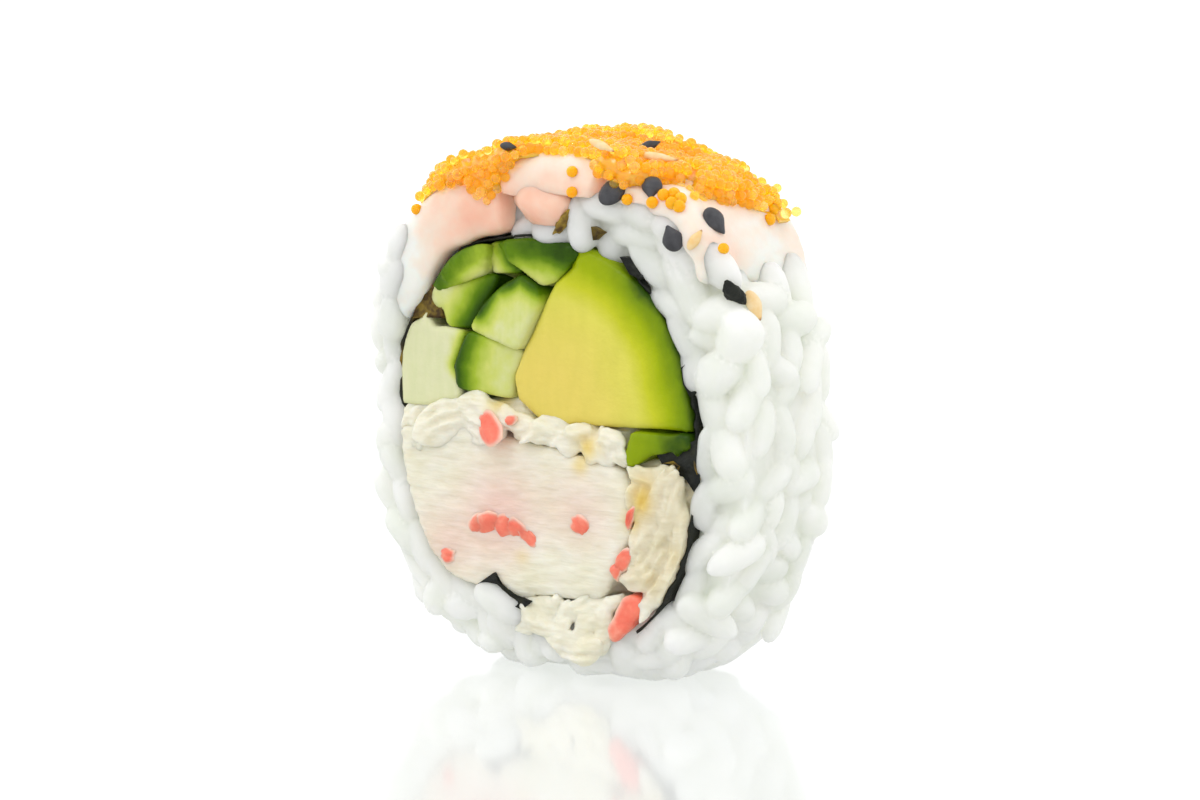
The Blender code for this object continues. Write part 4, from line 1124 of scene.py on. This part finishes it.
# Where a slice turns pink: x, y, z, radius, strength
PRAWN_PINK = [
    (-5.2, -8, 40.4, 3.6, 0.35), (-8.6, -8, 39.6, 5.6, 0.48), (0.6, -8.2, 41, 2.2, 0.35),
    (4.6, -8, 42, 2.4, 0.30), (10.5, -8, 43, 3.4, 0.30), (16.5, -5, 38, 3.4, 0.35),
]
# The deeper pink end of prawn that shows under the middle slice
PRAWN_TIP = (-0.4, -7.3, 41.0)
PRAWN_TIP_SIZE = (6.4, 4.0, 3.0)


def prawn_thickness(name, degrees):
    first, last, thickness, at_first, at_last, _ = PRAWN_SLICES[name]
    share = (degrees - first) / (last - first)
    rise = np.sin(pi / 2 * np.clip(share / PRAWN_TAPER, 0.0, 1.0))
    fall = np.sin(pi / 2 * np.clip((1.0 - share) / PRAWN_TAPER, 0.0, 1.0))
    left = at_first + (1.0 - at_first) * rise
    right = at_last + (1.0 - at_last) * fall
    return np.where((share >= 0.0) & (share <= 1.0), thickness * np.minimum(left, right), 0.0)


def prawn_ring(name, degrees):
    """The corners across a slice: its lip over the front face, top, back and underside."""
    first, last, *_, reach = PRAWN_SLICES[name]
    thick = float(prawn_thickness(name, np.clip(degrees, last + 0.01, first - 0.01)))
    back = PRAWN_BACK + 0.3 * noise.noise(Vector((degrees * 0.13, first, 2.0)))
    drop = 1.5 + 1.8 * noise.noise(Vector((degrees * 0.11, first, 8.0)))
    wall = rice_point(degrees, GAP)
    to_nori = nori_point(degrees, -NORI_THICKNESS / 2 - 0.1) - wall
    share = (degrees - first) / (last - first)
    hang = reach * (0.97 - 0.1 * float(smooth_step(share, 0.8, 1.0)) + 0.02 * sin(degrees * 0.5))
    hang = hang + (1.0 - reach) * 0.2 * noise.noise(Vector((degrees * 0.16, 5.0, 1.0)))
    tip = wall + to_nori * hang
    lip_back = CORE_FRONT + 0.5
    slim = 1.0 - 0.6 * float(smooth_step(-degrees, -57.0, -45.0))
    profile = [
        (PRAWN_FRONT + 0.05, thick * 0.32), (PRAWN_FRONT + 0.6, thick * 0.74),
        (PRAWN_FRONT + 1.9, thick * 0.97), (FRONT + 3.5, thick), (BACK - 3.5, thick * 0.99 * slim),
        (back - 1.2, thick * 0.84 * slim), (back - 0.1, thick * 0.4 * slim), (back + 0.1, -0.45 * drop),
        (back - 0.2, -drop), (back - 1.0, -drop - 0.2), (back - 2.6, -1.2), (lip_back, -0.9),
    ]
    ring = [in_space(tip, PRAWN_FRONT + 0.45), in_space(wall + to_nori * hang * 0.4, PRAWN_FRONT)]
    ring += [in_space(rice_point(degrees, GAP + height), y) for y, height in profile]
    return np.array([*ring, in_space(tip, lip_back)])


def rounded_ring(corners, steps):
    """A closed smooth line through corners."""
    shifted = [np.roll(corners, shift, 0) for shift in (1, 0, -1, -2)]
    points = []
    for step in range(steps):
        t = step / steps
        weights = (
            -0.5 * t + t**2 - 0.5 * t**3,
            1 - 2.5 * t**2 + 1.5 * t**3,
            0.5 * t + 2 * t**2 - 1.5 * t**3,
            -0.5 * t**2 + 0.5 * t**3,
        )
        points.append(sum(weight * corner for weight, corner in zip(weights, shifted)))
    return np.stack(points, 1).reshape(-1, 3)


def prawn_rings(name):
    """The rings of a slice from its left end to its right, with rounded, wavy ends."""
    first, last = PRAWN_SLICES[name][:2]
    rings = []
    for step in range(PRAWN_STEPS + 1):
        share = 0.5 - 0.5 * cos(pi * step / PRAWN_STEPS)
        degrees = first + PRAWN_OVERLAP + (last - first - 2 * PRAWN_OVERLAP) * share
        ring = rounded_ring(prawn_ring(name, degrees), 6)
        from_end = min(first + PRAWN_OVERLAP - degrees, degrees - last + PRAWN_OVERLAP)
        left = 1.0 - min(1.0, from_end / DEGREES_PER_MM / PRAWN_END)
        middle = ring.mean(0)
        ring = middle + (ring - middle) * max(0.02, sqrt(1.0 - left * left))
        ahead = ahead_on(rice_point, degrees)
        for end in (first, last):
            joint = round(end / 10.0)
            near = 1.0 - float(smooth_step(abs(degrees - end), 0.0, 16.0))
            size = 1.3 if joint in (8, 10) else 2.0
            seeds = np.outer(ring[:, 1], (0.2, 0.0, 0.0)) + (0.0, joint, 0.0)
            wander = size * near * noise_at(seeds, 1.0)
            ring = ring + np.outer(wander, (ahead[0], 0.0, ahead[1]))
        rings.append(ring)
    return rings


def build_prawn():
    material = prawn_material()
    slices = []
    for name in PRAWN_SLICES:
        points, faces = closed_loft(prawn_rings(name))
        faces, normals = facing_out(points, faces)
        relief = 0.28 * noise_at(points, 0.28, 5.0) + 0.12 * noise_at(points, 0.8, 1.0)
        points = points + normals * relief[:, None]
        pink = PRAWN_BASE[name] + spotted(points, PRAWN_PINK)
        pink = pink - 0.4 * smooth_step(-points[:, 0], 12.5, 15.0) * smooth_step(-points[:, 1], 0.0, 5.0)
        pink = np.clip(pink, 0.0, 1.0)
        slices.append(add_piece(name + "_flesh", points, faces, material, "prawn", [name], pink=pink))
    chance = random.Random(4)
    points, faces = ball(18, 12)
    for uneven, per_mm in ((0.2, 1.12), (0.1, 3.2)):
        points = points * (1 + uneven * noise_at(points, per_mm, chance.uniform(0, 90)))[:, None]
    rotation = basis(np.array([1.0, 0.0, -0.25]), np.array([0.0, -1.0, 0.1]))
    points = (points * PRAWN_TIP_SIZE / 2) @ rotation.T + PRAWN_TIP
    pink = np.full(len(points), 0.72)
    return [*slices, add_piece("prawn_tip", points, faces, material, "prawn", pink=pink)]


# The roe

EGG_RADIUS = 0.44
MM_PER_DEGREE = 0.38  # round the roll, at the height of the roe
# How far behind the prawn's front edge the heap begins, by the angle round the roll. Where it is
# negative, the heap hangs over the front by so much.
ROE_EDGE = (
    (130, 3), (125, 0.6), (118, -0.3), (110, -0.9), (107, -2.4), (104, -3.2), (100, -2.3),
    (96, -0.8), (92, 0.7), (86, 1.3), (81, 0.6), (78, -0.7), (70, -0.8), (67, 0.6),
    (64, 3), (60, 2.8), (57, 2.8), (55, 4.2), (53, 8.5), (50.5, 12.5),
)
ROE_BACK = 6.5
ROE_FRONT = -8.2  # y of the prawn's front edge
ROE_DEPTH = ROE_BACK - ROE_FRONT
# A strip of bare prawn across the heap: angle and y at each end, and half its width
BARE_STRIP = ((60.0, -5.6), (79.0, 3.6), 1.0)
ROE_FULL = 0.9  # how much higher the heap is where it is fullest
ROE_CREST = ((99.0, 13.0, 0.55),)  # turn at which the heap is higher still, width and height
# The eggs, layer by layer: tries, spacing, how high they lie, how far inside the heap's edge
ROE_LAYERS = ((30000, 0.7, 0.16, 0.0), (2500, 1.5, 0.62, 0.5), (260, 0.9, 0.2, -1.0))


def roe_lift(degrees):
    """Height of the roe's underside over the bare rice, clear of the prawn below."""
    near = [prawn_thickness(name, degrees + step) for name in PRAWN_SLICES for step in range(-4, 5, 2)]
    return GAP + np.maximum.reduce(near)


def roe_edge(degrees):
    angles, reaches = zip(*sorted(ROE_EDGE))
    return np.interp(degrees, angles, reaches)


def roe_surface(degrees, reach, height):
    """A point on the heap. reach is counted back from the prawn's front edge, height from the
    prawn's surface; where reach is negative, the point lies over the front."""
    over = np.maximum(-reach, 0.0)
    x_z = rice_point(degrees, roe_lift(degrees) - 0.25 + np.where(reach > 0, height, 0.0) - over)
    y = ROE_FRONT + np.maximum(reach, 0.0) - np.where(reach > 0, 0.0, np.minimum(height, 0.75))
    return in_space(x_z, y)


def bare_strip(degrees, reach):
    (first, front), (last, back), half = BARE_STRIP
    share = (degrees - first) / (last - first)
    middle = front + (back - front) * share + 0.9 * np.sin(share * 7.0)
    half = half * (1.0 - 0.6 * share)
    return (share > 0) & (share < 1) & (np.abs(ROE_FRONT + reach - middle) < half)


def heap_height(degrees, reach):
    """Height of the bed of roe, which falls to nothing at its edges, and distance from them."""
    first, last = ROE_EDGE[0][0], ROE_EDGE[-1][0]
    from_ends = np.minimum(degrees - last, first - degrees) * MM_PER_DEGREE
    inside = np.minimum(reach - roe_edge(degrees), ROE_DEPTH - reach)
    spots = roe_surface(degrees, reach, 0.0)
    ragged = noise_at(spots, 0.33, 9.0)
    sides = np.minimum(from_ends, ROE_DEPTH - reach) + 1.3 * ragged
    inside = np.minimum(inside + 0.3 * ragged, sides)
    full = ROE_FULL * smooth_step(noise_at(spots, 0.22, 5.0), -0.25, 0.3)
    height = 0.3 + 0.35 + full + bells(degrees, ROE_CREST)
    height = height * smooth_step(inside, -0.2, 1.6) - 0.3
    return np.where(bare_strip(degrees, reach), -0.4, height), inside


def egg(place, radius):
    return 0, np.eye(3), place, np.full(3, radius)


def build_roe():
    rng = np.random.default_rng(23)
    first, last = ROE_EDGE[0][0] + 2.0, ROE_EDGE[-1][0] - 2.0
    eggs, taken = [], []
    for tries, spacing, raised, border in ROE_LAYERS:
        degrees = rng.uniform(last, first, tries)
        edge = roe_edge(degrees) - 0.8
        reach = edge + (ROE_DEPTH + 0.8 - edge) * rng.uniform(0, 1, tries)
        height, inside = heap_height(degrees, reach)
        clear = ~bare_strip(degrees, reach) & (inside > border)
        height = np.maximum(height, 0.05) + raised + 0.22 * rng.uniform(0, 1, tries)
        places = roe_surface(degrees, reach, height)[clear]
        kept, taken = spread(places, spacing, taken)
        eggs += [egg(places[number], EGG_RADIUS * draw.uniform(0.88, 1.16)) for number in kept]

    columns = 34
    rings = []
    for degrees in np.linspace(first, last, 96):
        edge = float(roe_edge(degrees)) + 0.2
        reach = edge + (ROE_DEPTH - 0.3 - edge) * np.linspace(0.0, 1.0, columns)
        turn = np.full(columns, degrees)
        top = roe_surface(turn, reach, heap_height(turn, reach)[0])
        under = roe_surface(turn[:3], reach[[-4, columns // 2, 3]], -0.6)
        rings.append(np.concatenate([top, under]))
    points, faces = closed_loft(rings)
    faces, normals = facing_out(points, faces)
    points = points + normals * (0.1 * noise_at(points, 0.9, 3.0))[:, None]
    add_piece("roe_bed", points, faces, roe_bed_material(), "roe", ["roe"])
    return scattered("roe_eggs", ball(12, 8), eggs, roe_material(), "roe")


# Toppings that the photograph shows one by one, placed by its pixels

# Pixels of single eggs
SINGLE_EGGS = [
    (418, 210), (573, 172), (573, 192), (628, 200), (653, 203), (664, 196), (672, 204),
    (680, 200), (674, 195), (679, 207), (776, 205), (768, 220), (723, 250), (772, 209),
]
# Seeds: pixel, heading in the picture, length, width
BLACK_SEEDS = [
    (615, 191, 40, 3.1, 2.1), (652, 189, -92, 2.3, 1.8), (714, 222, -52, 2.6, 2),
    (672, 238, 112, 2.3, 1.9), (650, 147, 22, 2, 1), (509, 145, -5, 1.5, 0.7),
]
PALE_SEEDS = [
    (603, 146, -20, 3.2, 0.75), (658, 158, -15, 3.6, 0.8), (695, 240, 55, 2, 0.9),
    (753, 306, -66, 2.7, 1.6),
]
# Flakes of nori in the same way, the brown one last
NORI_FLAKES = [(734, 292, -55.0, 2.4, 1.5), (562, 222, 72.0, 2.4, 0.9)]
FRONTMOST = -9.0  # y that no seed or flake goes in front of by more than its own roundness
SEED_LEAN = 0.6  # how far a seed turns from the surface under it towards the camera


def towards(azimuth, elevation):
    """The direction from the roll to a camera or light."""
    a, e = radians(azimuth), radians(elevation)
    return Vector((sin(a) * cos(e), -cos(a) * cos(e), sin(e)))


def camera_frame():
    azimuth = radians(CAMERA_AZIMUTH)
    right = Vector((cos(azimuth), sin(azimuth), 0.0))
    back = towards(CAMERA_AZIMUTH, CAMERA_ELEVATION)
    return right, back.cross(right), back


def surfaces_of(pieces):
    """Search trees over pieces, in millimetres."""
    trees = []
    for piece in pieces:
        points = [v.co / MM for v in piece.data.vertices]
        faces = [tuple(p.vertices) for p in piece.data.polygons]
        trees.append(BVHTree.FromPolygons(points, faces))
    return trees


def seen_at(u, v, trees):
    """The point and normal of the nearest surface behind a pixel of the photograph."""
    right, up, back = camera_frame()
    eye = Vector(CAMERA_TARGET) + back * CAMERA_DISTANCE
    focal = LENS / SENSOR * IMAGE_WIDTH
    ray = right * ((u - IMAGE_WIDTH / 2) / focal) - up * ((v - IMAGE_HEIGHT / 2) / focal) - back
    hits = [tree.ray_cast(eye, ray.normalized()) for tree in trees]
    hits = [hit for hit in hits if hit[0] is not None]
    if not hits:
        return None
    place, normal, _, _ = min(hits, key=lambda hit: hit[3])
    if normal.dot(ray) > 0:
        normal = -normal
    return np.array(place), np.array(normal)


def seed_template(pointed):
    """A flat drop, with its tip towards +X."""
    points, faces = ball(18, 14)
    along = points[:, 0]
    narrow = 1 - pointed * smooth_step(along, -0.1, 1.0) * 0.75
    points[:, 1] *= narrow
    points[:, 2] *= narrow * (1 + 0.15 * noise_at(points, 1.5, 3.0))
    return points, faces


def laid(rows, thickness, trees):
    """Placements of flat seeds on the surfaces behind pixels, less those past the roll's edge."""
    right, up, back = camera_frame()
    placements = []
    for u, v, heading, length, width in rows:
        found = seen_at(u, v, trees)
        if found is None:
            continue
        place, normal = found
        angle = radians(heading)
        along = np.array(right * cos(angle) + up * sin(angle))
        rotation = basis(along, normal + SEED_LEAN * np.array(back))
        place = place + normal * thickness * 0.15
        place[1] = max(place[1], FRONTMOST + width * 0.2)
        placements.append((0, rotation, place, np.array([length, width, thickness]) / 2))
    return placements


def build_toppings(carriers):
    trees = surfaces_of(carriers)
    eggs = []
    for u, v in SINGLE_EGGS:
        found = seen_at(u, v, trees)
        if found:
            eggs.append(egg(found[0] + found[1] * 0.15, draw.uniform(0.48, 0.56)))
    scattered("single_eggs", ball(16, 12), eggs, single_roe_material(), "roe")
    black = laid(BLACK_SEEDS, 0.95, trees)
    scattered("black_sesame", seed_template(0.8), black, black_seed_material(), "roe")
    pale = laid(PALE_SEEDS, 0.7, trees)
    points, faces = seed_template(0.6)
    tips = np.tile(smooth_step(points[:, 0], 0.82, 0.97), len(pale))
    scattered("white_sesame", (points, faces), pale, pale_seed_material(), "roe", tip=tips)
    flakes = laid(NORI_FLAKES, 0.9, trees)
    points, faces = ball(20, 14)
    points[:, :2] *= (1 + 0.5 * noise_at(points, 1.7, 8.0))[:, None]
    # The brown flake gets the brown-gold colour as its own colour.
    gold = np.repeat(np.arange(len(flakes)) == 1, len(points))
    scattered("nori_flakes", (points, faces), flakes, nori_material(), "nori", gold=gold)


# Floor, light and camera


def build_stage():
    size = 1.5
    corners = [(-size, -size, 0.0), (size, -size, 0.0), (size, size, 0.0), (-size, size, 0.0)]
    mesh = new_mesh("floor", corners, [(0, 1, 2, 3)])
    mesh.materials.append(floor_material())
    floor = linked("floor", mesh)


def add_area_light(name, azimuth, elevation, size, power):
    """A square light of size metres that looks at the roll's middle from 0.6 metres away."""
    lamp = bpy.data.lights.new(name, "AREA")
    lamp.shape = "SQUARE"
    lamp.size = size
    lamp.energy = power
    holder = linked(name, lamp)
    away = towards(azimuth, elevation)
    holder.location = away * 0.6 + Vector((0.0, 0.0, 0.022))
    holder.rotation_euler = away.to_track_quat("Z", "Y").to_euler()


def build_light():
    world = bpy.data.worlds.new("white_tent")
    world.use_nodes = True
    background = world.node_tree.nodes["Background"]
    background.inputs["Color"].default_value = (1.0, 1.0, 1.0, 1.0)
    background.inputs["Strength"].default_value = 1.12
    bpy.context.scene.world = world
    bpy.context.scene.view_settings.view_transform = "Standard"
    add_area_light("key", -100.0, 45.0, 0.7, 0.6)
    add_area_light("fill", 118.0, 20.0, 0.7, 0.35)
    add_area_light("sparkle", -10.0, 55.0, 0.025, 0.35)


def build_camera():
    data = bpy.data.cameras.new("camera")
    data.lens = LENS
    data.sensor_width = SENSOR
    data.clip_start = 0.01
    camera = linked("camera", data)
    back = towards(CAMERA_AZIMUTH, CAMERA_ELEVATION)
    camera.location = (Vector(CAMERA_TARGET) + back * CAMERA_DISTANCE) * MM
    camera.rotation_euler = back.to_track_quat("Z", "Y").to_euler()
    bpy.context.scene.camera = camera


rice = build_rice()
build_nori()
build_nori_folds()
build_cucumbers()
build_avocado()
build_crab()
build_crab_red()
prawns = build_prawn()
roe = build_roe()
build_toppings([rice, roe, *prawns])
build_stage()
build_light()
build_camera()
